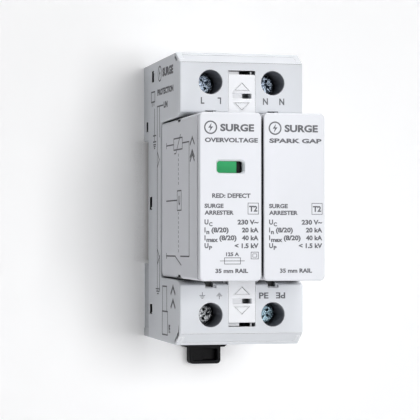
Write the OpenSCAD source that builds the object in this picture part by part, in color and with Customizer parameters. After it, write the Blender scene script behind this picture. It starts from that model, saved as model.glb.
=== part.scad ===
// Two-module surge arrester for a 35 mm top-hat rail: a base with screw terminals and two plug-in protection modules.
// Frame: origin at the centre of the rail seat. X is across the width, -Y is the front, +Z is up. Millimetres.

/* [Base] */
// Overall width of the base
base_w = 35.4; // [35.0:0.1:35.8]
// Distance from the rail seat to the front of the terminal shoulders
shoulder_y = 39.5; // [39.5:0.1:40.5]
// Half of the overall height, at the crest of the chamfer
crest_z = 40.7; // [40.5:0.1:41.5]
// Thickness of the side covers
cover_t = 1.6; // [1.4:0.1:1.7]
// Depth of the housing behind the rail seat
rear_y = 5.5; // [5.2:0.1:5.6]

/* [Terminals] */
// Distance of the terminal axes from the middle plane
term_x = 8.95; // [8.9:0.05:9.0]
// Height of the terminal screw axes above and below the rail centre line
term_z = 32.2; // [32.0:0.1:32.4]
// Radius of the screwdriver holes
driver_r = 3.35; // [3.2:0.05:3.4]
// Radius of the wire entries
wire_r = 3.5; // [3.0:0.1:3.6]
// Depth of the wire axis in front of the rail seat
wire_y = 15.15; // [15.0:0.05:15.3]
// Radius of the terminal screw shank
shank_r = 2.45; // [2.2:0.05:2.45]

/* [Modules] */
// Width of a module front plate
plate_w = 17.15; // [16.9:0.05:17.2]
// Gap between the two module front plates
plate_gap = 0.7; // [0.6:0.1:0.9]
// Half height of a module front plate
plate_z = 22.5; // [22.3:0.1:22.6]
// Distance from the rail seat to the module front
nose_y = 60.4; // [60.0:0.1:61.0]
// Thickness of a module front plate
plate_t = 1.25; // [1.1:0.05:1.3]
// Corner radius of a module front plate
plate_r = 1.3; // [1.0:0.1:1.6]
// Wall thickness of the module shells
shell_t = 1.3; // [1.2:0.1:1.4]
// Thickness of the contact blades
blade_t = 1.2; // [1.0:0.1:1.2]

/* [Indicator] */
// Width of the indicator window
window_w = 7.1; // [6.8:0.1:7.4]
// Height of the indicator window
window_h = 3.2; // [3.0:0.1:3.4]
// Height of the window's middle above the rail centre line
window_z = 7.9; // [7.7:0.1:8.1]

/* [Hidden] */
$fn = 48;
hw = base_w / 2;
ix = hw - cover_t;
sy = shoulder_y;
cz = crest_z;
fz = cz - 3.3;
ax = sy - 5.2;
web = 0.6;
mx = (plate_gap + plate_w) / 2;
pin_z = 15;

// Helpers ---------------------------------------------------------------

// A Y-Z outline drawn out along X from x0 to x1
module yz(pts, x0, x1) {
    translate([x0, 0, 0]) rotate([90, 0, 90]) linear_extrude(x1 - x0) polygon(pts);
}
// A box given by its two corners
module bx(a, b) {
    translate(a) cube([b[0] - a[0], b[1] - a[1], b[2] - a[2]]);
}
// A cylinder along Y from y0 to y1
module cy(x, z, r, y0, y1) {
    translate([x, y0, z]) rotate([-90, 0, 0]) cylinder(r = r, h = y1 - y0);
}
// A cylinder along X from x0 to x1
module cx(y, z, r, x0, x1) {
    translate([x0, y, z]) rotate([0, 90, 0]) cylinder(r = r, h = x1 - x0);
}
// A cone along Y from radius r0 at y0 to r1 at y1
module ty(x, z, r0, r1, y0, y1) {
    translate([x, y0, z]) rotate([-90, 0, 0]) cylinder(r1 = r0, r2 = r1, h = y1 - y0);
}
// A rounded rectangle in X-Z, drawn out along Y from y0 to y1
module slab(x0, x1, z0, z1, r, y0, y1) {
    translate([0, y1, 0]) rotate([90, 0, 0]) linear_extrude(y1 - y0) union() {
        translate([x0 + r, z0]) square([x1 - x0 - 2 * r, z1 - z0]);
        translate([x0, z0 + r]) square([x1 - x0, z1 - z0 - 2 * r]);
        for (x = [x0 + r, x1 - r], z = [z0 + r, z1 - r]) translate([x, z]) circle(r = r);
    }
}
// The same shape above and below the rail centre line
module both() { children(); mirror([0, 0, 1]) children(); }
// A round wire of radius w swept along a coil, as one closed solid
module coil_wire(r, w, z0, z1, n, steps, sides = 8) {
    pitch = (z1 - z0) / n;
    slope = atan2(pitch, 2 * PI * r);
    pts = [for (i = [0:steps]) let (a = 360 * n * i / steps, z = z0 + (z1 - z0) * i / steps)
           for (k = [0:sides - 1]) let (b = 360 * k / sides, u = w * cos(b), v = w * sin(b))
           [(r + u) * cos(a) + v * sin(slope) * sin(a), (r + u) * sin(a) - v * sin(slope) * cos(a), z + v * cos(slope)]];
    walls = [for (i = [0:steps - 1], k = [0:sides - 1]) let (k2 = (k + 1) % sides, p = i * sides, q = p + sides)
             each [[p + k, q + k2, q + k], [p + k, p + k2, q + k2]]];
    ends = [[for (k = [sides - 1:-1:0]) k], [for (k = [0:sides - 1]) steps * sides + k]];
    polyhedron(points = pts, faces = concat(walls, ends), convexity = 8);
}

// Outlines of the base, in Y-Z ------------------------------------------

function mirror_z(p) = [for (i = [len(p) - 1:-1:0]) [p[i][0], -p[i][1]]];
upper_out = [[rear_y, 39.8 + cz - 40.7], [-ax, cz], [-sy, fz], [-sy, 23.9], [-sy + 3.2, 22.75]];
rear_out = [[rear_y, -18.35], [-0.3, -18.35], [-0.3, 17.7], [rear_y, 17.7]];
frame_out = concat(upper_out, [[-13.4, 22.15], [-13.4, -22.15]], mirror_z(upper_out), rear_out);
cover_front = [[-sy + 1.45, fz + 1.45 * 3.3 / 5.2], [-sy + 1.45, 23.38], [-sy + 3.2, 22.75]];
cover_upper = concat([[rear_y, 39.8 + cz - 40.7], [-ax, cz]], cover_front);
cover_out = concat(cover_upper, [[-17.3, 22.2], [-16.5, 22.0], [-16.05, 21.6], [-15.9, 20.9], [-15.9, -20.9], [-16.05, -21.6], [-16.5, -22.0], [-17.3, -22.2]], mirror_z(cover_upper), rear_out);
cavity = [[3.9, cz - 2.6], [-ax + 0.5, cz - 1.7], [-sy + 1.6, fz - 1.0], [-sy + 1.6, 25.3], [-sy + 3.5, 24.4], [-11.8, 23.8],
          [-11.8, -23.8], [-sy + 3.5, -24.4], [-sy + 1.6, -25.3], [-sy + 1.6, -fz + 1.0], [-ax + 0.5, -cz + 1.7], [3.9, -cz + 2.6],
          [3.9, -19.95], [-1.6, -19.95], [-1.6, 19.3], [3.9, 19.3]];

// Base frame -------------------------------------------------------------

module snap_posts() {
    for (s = [-1, 1]) mirror([s < 0 ? 1 : 0, 0, 0]) {
        bx([14.2, -7.6, 37.15], [ix, -5.1, 38.9]);
        bx([ix - 0.1, -7.6, 37.15], [ix + 1.1, -5.1, 37.6]);
        bx([14.2, -0.05, 18.2], [ix, 2.05, 21.0]);
        bx([ix - 0.1, -0.05, 20.6], [ix + 1.1, 2.05, 21.0]);
        bx([14.2, -5.0, -2.3], [ix, -1.2, -1.6]);
        bx([ix - 0.1, -5.0, -2.3], [ix + 1.2, -2.4, -1.6]);
        bx([14.2, -5.0, -32.9], [ix, 4.2, -32.1]);
        bx([ix - 0.1, -5.0, -32.9], [ix + 1.1, -2.4, -32.4]);
    }
}
module clip_channel() {
    // Walls round the slider, then the hollow for it
    bx([-4.95, -sy + 1.5, 22.9], [4.95, -32.7, 36.6]);
}
module clip_hollow() {
    bx([-3.9, -sy - 1, 20], [3.9, -sy + 1.7, 35.55]);
    bx([-4.3, -sy + 1.6, 20], [4.3, -33.4, 35.55]);
}
module base_frame() {
    color("gainsboro") difference() {
        union() {
            difference() {
                yz(frame_out, -ix, ix);
                yz(cavity, -ix - 1, -web);
                yz(cavity, web, ix + 1);
            }
            // The front wall wraps over the side covers
            both() yz([[-sy, 23.9], [-sy, fz], [-sy + 1.4, fz + 1.4 * 3.3 / 5.2], [-sy + 1.4, 23.4]], -hw, hw);
            both() clip_channel();
            snap_posts();
            // Walls of the rail clip's channel
            bx([-9.2, -1.0, -39.2], [9.2, 5.4, -18.4]);
        }
        both() clip_hollow();
        // Screwdriver holes and wire entries, with a lead-in round each wire entry
        for (x = [-term_x, term_x]) {
            for (s = [-1, 1]) {
                cy(x, s * term_z, driver_r, -sy - 1, -sy + 5);
                translate([x, -wire_y, s > 0 ? 36 : -42]) cylinder(r = wire_r, h = 6);
            }
            // Finger notches at the inner edge of each shoulder
            both() bx([x - 1.45, -sy - 1, 22], [x + 1.45, -36.9, 24.75]);
        }
        // Rail clip channel: wide slide way, narrower mouth at the back, and the spring pocket
        bx([-7.35, 1.1, -45], [7.35, 3.15, -18]);
        bx([-4.95, 1.1, -45], [4.95, 7, -18]);
        bx([-7.35, 3.1, -20.2], [7.35, 7, -18]);
        // Slot behind the hook for the rail's upper flange, and ways beside the hook
        bx([-14, -0.4, 17.6], [14, 1.2, 18.2]);
        // Contact slots and the plunger hole in the bay floor
        for (x = [-term_x, term_x], s = [-1, 1]) bx([x - 1.0, -14, s * pin_z - 3.4], [x + 1.0, -11, s * pin_z + 3.4]);
        cy(-5.0, 2.0, 1.1, -14, -11);
        // Ways through the middle web for the busbars and the socket
        bx([-1, -3.7, 3.7], [1, -1.9, 8.3]);
        bx([-1, -8.4, -26.7], [1, -2.0, -24.4]);
        bx([-6.6, -9.7, -42], [6.6, -2.5, -31.2]);
    }
    color("gainsboro") {
        // Raised seat that bears on the rail's front
        bx([-15, -0.3, -15.5], [15, 0, 15.5]);
    }
    color("gainsboro") {
        // Fixed hook over the rail's upper edge
        bx([-13, 1.25, 16.3], [13, rear_y, 18.6]);
    }
    color("gainsboro") {
        // Peg that carries the clip's spring
        bx([-1.6, 0.2, -35.9], [1.6, 4.6, -34.3]);
    }
}

// Side covers ------------------------------------------------------------

module cover(x0, x1) {
    sgn = x0 < 0 ? -1 : 1;
    out = sgn < 0 ? x0 : x1;
    difference() {
        yz(cover_out, x0, x1);
        // Snap windows
        bx([x0 - 1, -7.8, 34.5], [x1 + 1, -4.9, 37.8]);
        bx([x0 - 1, -0.2, 20.4], [x1 + 1, 2.2, 23.4]);
        bx([x0 - 1, -5.2, -2.6], [x1 + 1, -2.2, 1.2]);
        bx([x0 - 1, -5.2, -33.0], [x1 + 1, -2.2, -30.1]);
        // Shallow recess low on the rear strip
        bx([out - 0.5, 0.7, -37.4], [out + 0.5, 6, -18.35]);
        // Hook gaps at the two chamfers
        both() yz([[-36.2, 38.6], [-33.4, 40.2], [-33.2, 39.3], [-35.4, 38.0]], out - 0.9, out + 0.9);
    }
}
module left_side_cover() { color("silver") cover(-hw, -ix - 0.02); }
module right_side_cover() { color("silver") cover(ix + 0.02, hw); }

// Terminals --------------------------------------------------------------

// A terminal piece is drawn for the upper right and mirrored to its place
module at_terminal(x, z) {
    translate([x, 0, z]) mirror([0, 0, z < 0 ? 1 : 0]) children();
}
module carrier() {
    color("dimgray") difference() {
        union() {
            cy(0, 0, 3.95, -37.85, -27.4);
            bx([-5.4, -28.4, -4.4], [5.4, -27.4, 4.4]);
            for (s = [-1, 1]) bx([s > 0 ? 4.75 : -5.4, -28.4, -4.4], [s > 0 ? 5.4 : -4.75, -10.5, 4.4]);
        }
        cy(0, 0, 3.45, -39, -28.4);
        cy(0, 0, shank_r + 0.35, -29, -27);
    }
}
module terminal_screw() {
    color("lightsteelblue") difference() {
        union() {
            cy(0, 0, 2.9, -30.6, -28.6);
            ty(0, 0, 2.5, 2.9, -31.0, -30.6);
            cy(0, 0, shank_r, -28.7, -20.2);
            ty(0, 0, shank_r, shank_r - 0.5, -20.2, -19.6);
        }
        // Slot and cross recess
        bx([-3.5, -31.5, -0.4], [3.5, -30.0, 0.4]);
        for (a = [45, 135]) rotate([0, a, 0]) bx([-1.6, -31.5, -0.4], [1.6, -29.6, 0.4]);
    }
}
module clamp_cage() {
    color("silver") difference() {
        bx([-4.6, -22.0, -4.0], [4.6, -10.9, 4.0]);
        bx([-3.4, -19.8, -5], [3.4, -12.4, 5]);
        cy(0, 0, shank_r + 0.06, -23, -19);
        // Grip grooves across the clamping wall
        for (z = [-2.4, 0, 2.4]) bx([-3.4, -12.6, z - 0.4], [3.4, -12.0, z + 0.4]);
    }
}
module tongue(x0) {
    // Tongue in the cage and the step back to the contact space, for an upper terminal
    bx([x0 - 3.0, -19.4, 24.8], [x0 + 3.0, -17.9, 36.0]);
    bx([x0 - 3.0, -19.4, 24.8], [x0 + 3.0, -2.2, 26.3]);
}
module busbar_line() {
    color("peru") union() {
        tongue(-term_x);
        bx([-term_x - 3.0, -3.4, 12.6], [-term_x + 3.0, -2.2, 26.3]);
    }
}
module busbar_neutral() {
    color("peru") union() {
        tongue(term_x);
        bx([term_x - 3.0, -3.4, 4.0], [term_x + 3.0, -2.2, 26.3]);
        bx([-term_x - 3.0, -3.4, 4.0], [term_x + 3.0, -2.2, 8.0]);
        bx([-term_x - 3.0, -3.4, -17.5], [-term_x + 3.0, -2.2, 8.0]);
    }
}
module busbar_earth() {
    color("peru") union() {
        for (x = [-term_x, term_x]) mirror([0, 0, 1]) tongue(x);
        bx([-term_x - 3.0, -8.0, -26.3], [term_x + 3.0, -2.2, -24.8]);
        bx([term_x - 3.0, -3.4, -26.3], [term_x + 3.0, -2.2, -12.6]);
    }
}
// Spring contact: a foot and two leaves that close on a blade and flare at the mouth
module jaw(x, z) {
    g = blade_t / 2 + 0.05;
    leaf = [[1.75, -4.4], [1.75, -5.0], [g, -8.2], [g, -9.5], [1.35, -11.4], [1.9, -11.3], [g + 0.7, -9.6], [g + 0.6, -8.2], [2.4, -5.2], [2.4, -3.45]];
    color("goldenrod") translate([x, 0, z - 2.4]) linear_extrude(4.8)
        polygon(concat(leaf, [for (i = [len(leaf) - 1:-1:0]) [-leaf[i][0], leaf[i][1]]]));
}

// Retention clips --------------------------------------------------------

module chevron(z, up) {
    for (s = [-1, 1]) translate([s * 1.1, -sy, z]) rotate([0, s * up * 33, 0]) cube([2.6, 0.4, 0.28], center = true);
}
module retention_clip() {
    color("white") difference() {
        union() {
            bx([-3.8, -sy, 22.75], [3.8, -37.7, 34.4]);
            bx([-4.15, -37.75, 24.2], [4.15, -36.5, 33.8]);
            bx([-3.8, -37.75, 22.75], [3.8, -36.5, 24.4]);
            // Rounded latch edge over the module's catch groove
            cx(-37.15, 22.95, 0.75, -3.8, 3.8);
            chevron(31.4, 1);
            chevron(26.1, -1);
        }
        bx([-2.75, -sy - 1, 27.75], [2.75, -38.7, 29.15]);
        bx([0.3, -sy - 1, 27.75], [2.5, -35, 29.15]);
    }
}
module upper_retention_clip() { retention_clip(); }
module lower_retention_clip() { mirror([0, 0, 1]) retention_clip(); }

// Rail clip ----------------------------------------------------------------

module rail_clip() {
    color([0.1, 0.1, 0.11]) difference() {
        union() {
            bx([-7.2, 1.3, -39.0], [7.2, 3.0, -20.3]);
            bx([-4.75, 1.3, -40.5], [4.75, 5.4, -18.6]);
            // Jaw that grips behind the rail's lower edge
            yz([[1.35, -19.2], [1.35, -16.7], [2.0, -16.2], [2.8, -16.2], [5.3, -19.2]], -4.7, 4.7);
            // Stop flange under the housing, with sloped ends
            translate([0, 5.35, 0]) rotate([90, 0, 0]) linear_extrude(3.95) polygon([[-7.2, -40.1], [7.2, -40.1], [7.2, -42.2], [6.0, -43.2], [-6.0, -43.2], [-7.2, -42.2]]);
            slab(-4.74, 4.74, -48.15, -41.0, 1.1, 1.32, 5.38);
        }
        // Thumb pocket in the pull tab
        slab(-3.75, 3.75, -47.15, -43.6, 0.5, 0, 4.4);
        // Window for the spring
        bx([-2.2, 0, -39.5], [2.2, 6, -26.0]);
    }
}
module rail_clip_spring() {
    color("lightgray") translate([0, 2.95, 0]) coil_wire(1.25, 0.25, -34.0, -26.3, 7, 112);
}

// Remote signalling --------------------------------------------------------

module signal_switch() {
    color("darkslategray") difference() {
        bx([-8.0, -9.6, -6.4], [-2.0, -3.8, 6.4]);
        for (z = [-3.2, 3.2]) cx(-4.9, z, 0.8, -9, -1);
        cy(-5.0, 2.0, 1.1, -10, -8.2);
    }
}
module switch_plunger() { color("firebrick") union() { cy(-5.0, 2.0, 1.0, -13.44, -8.4); } }
module signal_wires() {
    color("crimson") for (x = [-5.3, -4.0, -2.7]) {
        bx([x - 0.5, -9.4, -8.4], [x + 0.5, -8.4, -6.4]);
        translate([x, -8.9, -31.35]) cylinder(r = 0.4, h = 23.2);
    }
}
module signal_socket() {
    color("darkslategray") difference() {
        bx([-6.5, -9.6, -39.9], [6.5, -2.6, -31.35]);
        bx([-5.7, -8.8, -41], [5.7, -4.0, -33.2]);
    }
}
module signal_pins() {
    color("gold") for (x = [-3.81, 0, 3.81]) bx([x - 0.5, -6.9, -38.9], [x + 0.5, -5.9, -33.2]);
}

// Module shells -------------------------------------------------------------

module shell(x) {
    x0 = x - 8.43; x1 = x + 8.43; y0 = -nose_y + plate_t; s = 22.3; e = 21.85;
    difference() {
        union() {
            difference() {
                yz([[y0, s], [-17.6, e], [-16.75, e - 0.3], [-16.3, e - 0.75], [-16.2, e - 1.2],
                    [-16.2, -e + 1.2], [-16.3, -e + 0.75], [-16.75, -e + 0.3], [-17.6, -e], [y0, -s]], x0, x1);
                yz([[y0 - 1, s - shell_t], [-17.7, e - shell_t], [-17.7, -e + shell_t], [y0 - 1, -s + shell_t]], x0 + shell_t, x1 - shell_t);
            }
            bx([x - 6.6, -16.3, -20.3], [x + 6.6, -13.5, 20.3]);
            // Thickening behind each catch groove
            both() bx([x0 + 0.5, -39.4, 19.6], [x1 - 0.5, -34.9, 21.4]);
        }
        // Catch grooves
        for (z = [-22.15, 22.15]) cx(-37.15, z, 1.1, x0 - 1, x1 + 1);
        // Blade slots
        for (z = [-pin_z, pin_z]) bx([x - blade_t / 2 - 0.05, -18, z - 3.05], [x + blade_t / 2 + 0.05, -13, z + 3.05]);
    }
}
module front_plate(x) {
    w = plate_w / 2;
    slab(x - w, x + w, -plate_z, plate_z, plate_r, -nose_y, -nose_y + plate_t);
    // Spigot that sits inside the shell
    difference() {
        bx([x - 7.0, -nose_y + plate_t - 0.05, -20.6], [x + 7.0, -57.0, 20.6]);
        bx([x - 6.2, -nose_y + plate_t - 0.5, -19.8], [x + 6.2, -56.0, 19.8]);
    }
}
module line_module_shell() { color("silver") shell(-mx); }
module neutral_module_shell() { color("silver") shell(mx); }
module line_module_front() {
    color("whitesmoke") difference() {
        front_plate(-mx);
        slab(-12.5, -12.5 + window_w, window_z - window_h / 2, window_z + window_h / 2, 0.5, -nose_y - 1, -nose_y + plate_t + 1);
    }
}
module neutral_module_front() { color("whitesmoke") front_plate(mx); }

// Indicator flag --------------------------------------------------------------

module flag_carrier() {
    color([0.08, 0.08, 0.09]) difference() {
        union() {
            bx([-13.0, -58.3, -3.5], [-5.4, -57.5, 10.3]);
            // Fork that takes the arm's tip
            bx([-6.6, -57.6, 4.2], [-3.2, -55.0, 5.0]);
            bx([-6.6, -57.6, 7.4], [-3.2, -55.0, 8.2]);
        }
    }
}
module flag_green() { color("mediumseagreen") bx([-13.0, -58.8, 5.9], [-6.3, -58.3, 9.9]); }
module flag_red() { color("firebrick") bx([-13.0, -58.8, 1.6], [-6.3, -58.3, 5.7]); }

// Varistor and disconnector ---------------------------------------------------

module varistor_block() { color("cornflowerblue") slab2(-12.9, -6.3, -52.5, -19.5, 16.5, 2.5); }
// A plate with rounded corners in Y-Z, drawn out along X
module slab2(x0, x1, y0, y1, z, r) {
    translate([x0, 0, 0]) rotate([90, 0, 90]) linear_extrude(x1 - x0) union() {
        translate([y0 + r, -z]) square([y1 - y0 - 2 * r, 2 * z]);
        translate([y0, -z + r]) square([y1 - y0, 2 * z - 2 * r]);
        for (y = [y0 + r, y1 - r], zz = [-z + r, z - r]) translate([y, zz]) circle(r = r);
    }
}
module electrode_line() {
    color("chocolate") union() {
        slab2(-6.25, -5.6, -49.0, -23.0, 13.0, 1.5);
    }
}
module electrode_neutral() {
    color("chocolate") union() {
        slab2(-13.6, -12.95, -49.0, -23.0, 13.0, 1.5);
        bx([-13.6, -23.5, -12.5], [-12.95, -18.9, -6.0]);
    }
}
module solder_joint() { color("lightgray") cx(-40, 5, 2.4, -5.55, -5.05); }
module disconnect_arm() {
    color("peru") difference() {
        union() {
            yz([[-19.6, 12.2], [-19.6, 16.2], [-23.2, 16.2], [-40, 8.2], [-55.0, 7.1], [-56.2, 6.8], [-56.2, 5.6], [-55.0, 5.4], [-41, 3.0], [-36, 4.0]], -5.0, -3.85);
        }
        cx(-21.6, 14, 1.25, -6, -3);
    }
}
module arm_rivet() {
    color("goldenrod") union() {
        cx(-21.6, 14, 1.19, -5.5, -2.1);
        cx(-21.6, 14, 1.9, -5.5, -5.05);
    }
}
module arm_spring() {
    color("lightgray") translate([-4.0, -42.5, 0]) coil_wire(1.15, 0.22, 8.35, 20.4, 11, 132, 6);
}
module blade_line() {
    color("goldenrod") difference() {
        union() {
            bx([-mx - blade_t / 2, -18.9, 12.0], [-mx + blade_t / 2, -6.3, 18.0]);
            bx([-mx - blade_t / 2, -18.9, 12.0], [-2.8, -17.8, 18.0]);
            bx([-3.75, -25.0, 10.6], [-2.8, -17.8, 18.0]);
        }
        cx(-21.6, 14, 1.2, -5, -2);
    }
}
module blade_neutral() {
    color("goldenrod") union() {
        bx([-mx - blade_t / 2, -18.9, -18.0], [-mx + blade_t / 2, -6.3, -12.0]);
        bx([-13.6, -18.9, -18.0], [-mx + blade_t / 2, -17.8, -6.0]);
    }
}

// Gas discharge tube ---------------------------------------------------------

module gas_tube_ceramic() {
    color("mistyrose") difference() {
        translate([mx, -38, -6.5]) cylinder(r = 6, h = 13);
        translate([mx, -38, -7]) cylinder(r = 4.6, h = 14);
    }
}
module gas_tube_caps() {
    color("silver") both() union() {
        translate([mx, -38, 6.55]) cylinder(r = 6.6, h = 1.4);
        translate([mx, -38, 1.0]) cylinder(r = 3.2, h = 6.0);
        translate([mx, -38, 7.9]) cylinder(r = 4.0, h = 1.1);
    }
}
module gap_blade() {
    color("goldenrod") union() {
        bx([mx - blade_t / 2, -18.9, 12.0], [mx + blade_t / 2, -6.3, 18.0]);
        bx([mx - 3.5, -18.9, 9.05], [mx + 3.5, -17.8, 18.0]);
        bx([mx - 3.5, -43.0, 9.05], [mx + 3.5, -17.8, 10.05]);
    }
}
module blade_gap_neutral() { gap_blade(); }
module blade_gap_earth() { mirror([0, 0, 1]) gap_blade(); }

// Nodes ------------------------------------------------------------------------

base_frame();
left_side_cover();
right_side_cover();
at_terminal(-term_x, term_z) carrier();  // carrier_line
at_terminal(term_x, term_z) carrier();  // carrier_neutral
at_terminal(-term_x, -term_z) carrier();  // carrier_earth_left
at_terminal(term_x, -term_z) carrier();  // carrier_earth_right
at_terminal(-term_x, term_z) rotate([0, 20, 0]) terminal_screw();  // screw_line
at_terminal(term_x, term_z) rotate([0, 65, 0]) terminal_screw();  // screw_neutral
at_terminal(-term_x, -term_z) rotate([0, 40, 0]) terminal_screw();  // screw_earth_left
at_terminal(term_x, -term_z) rotate([0, 10, 0]) terminal_screw();  // screw_earth_right
at_terminal(-term_x, term_z) clamp_cage();  // cage_line
at_terminal(term_x, term_z) clamp_cage();  // cage_neutral
at_terminal(-term_x, -term_z) clamp_cage();  // cage_earth_left
at_terminal(term_x, -term_z) clamp_cage();  // cage_earth_right
busbar_line();
busbar_neutral();
busbar_earth();
jaw(-mx, pin_z);  // jaw_line
jaw(-mx, -pin_z);  // jaw_neutral_left
jaw(mx, pin_z);  // jaw_neutral_right
jaw(mx, -pin_z);  // jaw_earth
upper_retention_clip();
lower_retention_clip();
rail_clip();
rail_clip_spring();
signal_switch();
switch_plunger();
signal_wires();
signal_socket();
signal_pins();
line_module_shell();
line_module_front();
flag_carrier();
flag_green();
flag_red();
varistor_block();
electrode_line();
electrode_neutral();
solder_joint();
disconnect_arm();
arm_rivet();
arm_spring();
blade_line();
blade_neutral();
neutral_module_shell();
neutral_module_front();
gas_tube_ceramic();
gas_tube_caps();
blade_gap_neutral();
blade_gap_earth();
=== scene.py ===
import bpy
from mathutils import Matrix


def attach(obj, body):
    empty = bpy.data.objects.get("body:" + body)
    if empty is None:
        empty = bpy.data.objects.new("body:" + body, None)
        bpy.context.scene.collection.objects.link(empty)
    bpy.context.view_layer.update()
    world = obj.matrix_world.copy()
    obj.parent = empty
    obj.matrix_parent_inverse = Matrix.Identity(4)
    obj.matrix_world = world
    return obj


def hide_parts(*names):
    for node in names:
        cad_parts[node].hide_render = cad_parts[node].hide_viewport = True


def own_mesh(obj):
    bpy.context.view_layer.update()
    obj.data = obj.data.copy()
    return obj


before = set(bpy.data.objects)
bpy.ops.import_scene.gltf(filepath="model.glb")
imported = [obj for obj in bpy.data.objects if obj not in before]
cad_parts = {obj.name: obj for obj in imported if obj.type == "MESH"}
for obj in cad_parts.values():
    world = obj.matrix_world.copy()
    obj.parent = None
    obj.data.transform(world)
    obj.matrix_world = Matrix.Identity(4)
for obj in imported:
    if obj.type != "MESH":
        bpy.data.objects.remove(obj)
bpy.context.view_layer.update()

import math

import bmesh
import bpy
import numpy as np
from mathutils import Matrix, Vector

MM = 0.001
SCENE = bpy.context.scene
COL = SCENE.collection

# ---------------------------------------------------------------- materials


def _mat(name):
    m = bpy.data.materials.new(name)
    m.use_nodes = True
    nt = m.node_tree
    nt.nodes.clear()
    out = nt.nodes.new("ShaderNodeOutputMaterial")
    b = nt.nodes.new("ShaderNodeBsdfPrincipled")
    nt.links.new(b.outputs[0], out.inputs[0])
    return m, nt, b


def _n(nt, kind, **kw):
    n = nt.nodes.new(kind)
    for k, v in kw.items():
        if k in n.inputs:
            n.inputs[k].default_value = v
        else:
            setattr(n, k, v)
    return n


def _coords(nt, scale=1.0, stretch=(1, 1, 1)):
    """Object coordinates in millimetres."""
    tc = nt.nodes.new("ShaderNodeTexCoord")
    mp = nt.nodes.new("ShaderNodeMapping")
    mp.inputs["Scale"].default_value = tuple(1000 * scale * s for s in stretch)
    nt.links.new(tc.outputs["Object"], mp.inputs["Vector"])
    return mp.outputs[0]


def _ramp(nt, fac, stops):
    r = nt.nodes.new("ShaderNodeValToRGB")
    e = r.color_ramp.elements
    while len(e) < len(stops):
        e.new(0.5)
    for el, (p, c) in zip(e, stops):
        el.position = p
        el.color = (*c, 1) if len(c) == 3 else c
    nt.links.new(fac, r.inputs[0])
    return r.outputs[0]


def _mix(nt, fac, a, b, blend="MIX"):
    m = nt.nodes.new("ShaderNodeMix")
    m.data_type = "RGBA"
    m.blend_type = blend
    for sock, v in ((m.inputs[0], fac), (m.inputs[6], a), (m.inputs[7], b)):
        if hasattr(v, "links"):
            nt.links.new(v, sock)
        else:
            sock.default_value = v if not isinstance(v, tuple) else (*v, 1)[:4]
    return m.outputs[2]


def _edge_wear_and_highlight(nt):
    """Edge factor from the bevel shader's bent normal, for brightness near convex edges: worn plating on metal, painted
    highlight on plastic.
    """
    bev = _n(nt, "ShaderNodeBevel", samples=4)
    bev.inputs["Radius"].default_value = 0.00035
    geo = nt.nodes.new("ShaderNodeNewGeometry")
    dot = nt.nodes.new("ShaderNodeVectorMath")
    dot.operation = "DOT_PRODUCT"
    nt.links.new(bev.outputs[0], dot.inputs[0])
    nt.links.new(geo.outputs["Normal"], dot.inputs[1])
    return dot.outputs["Value"]


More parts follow.
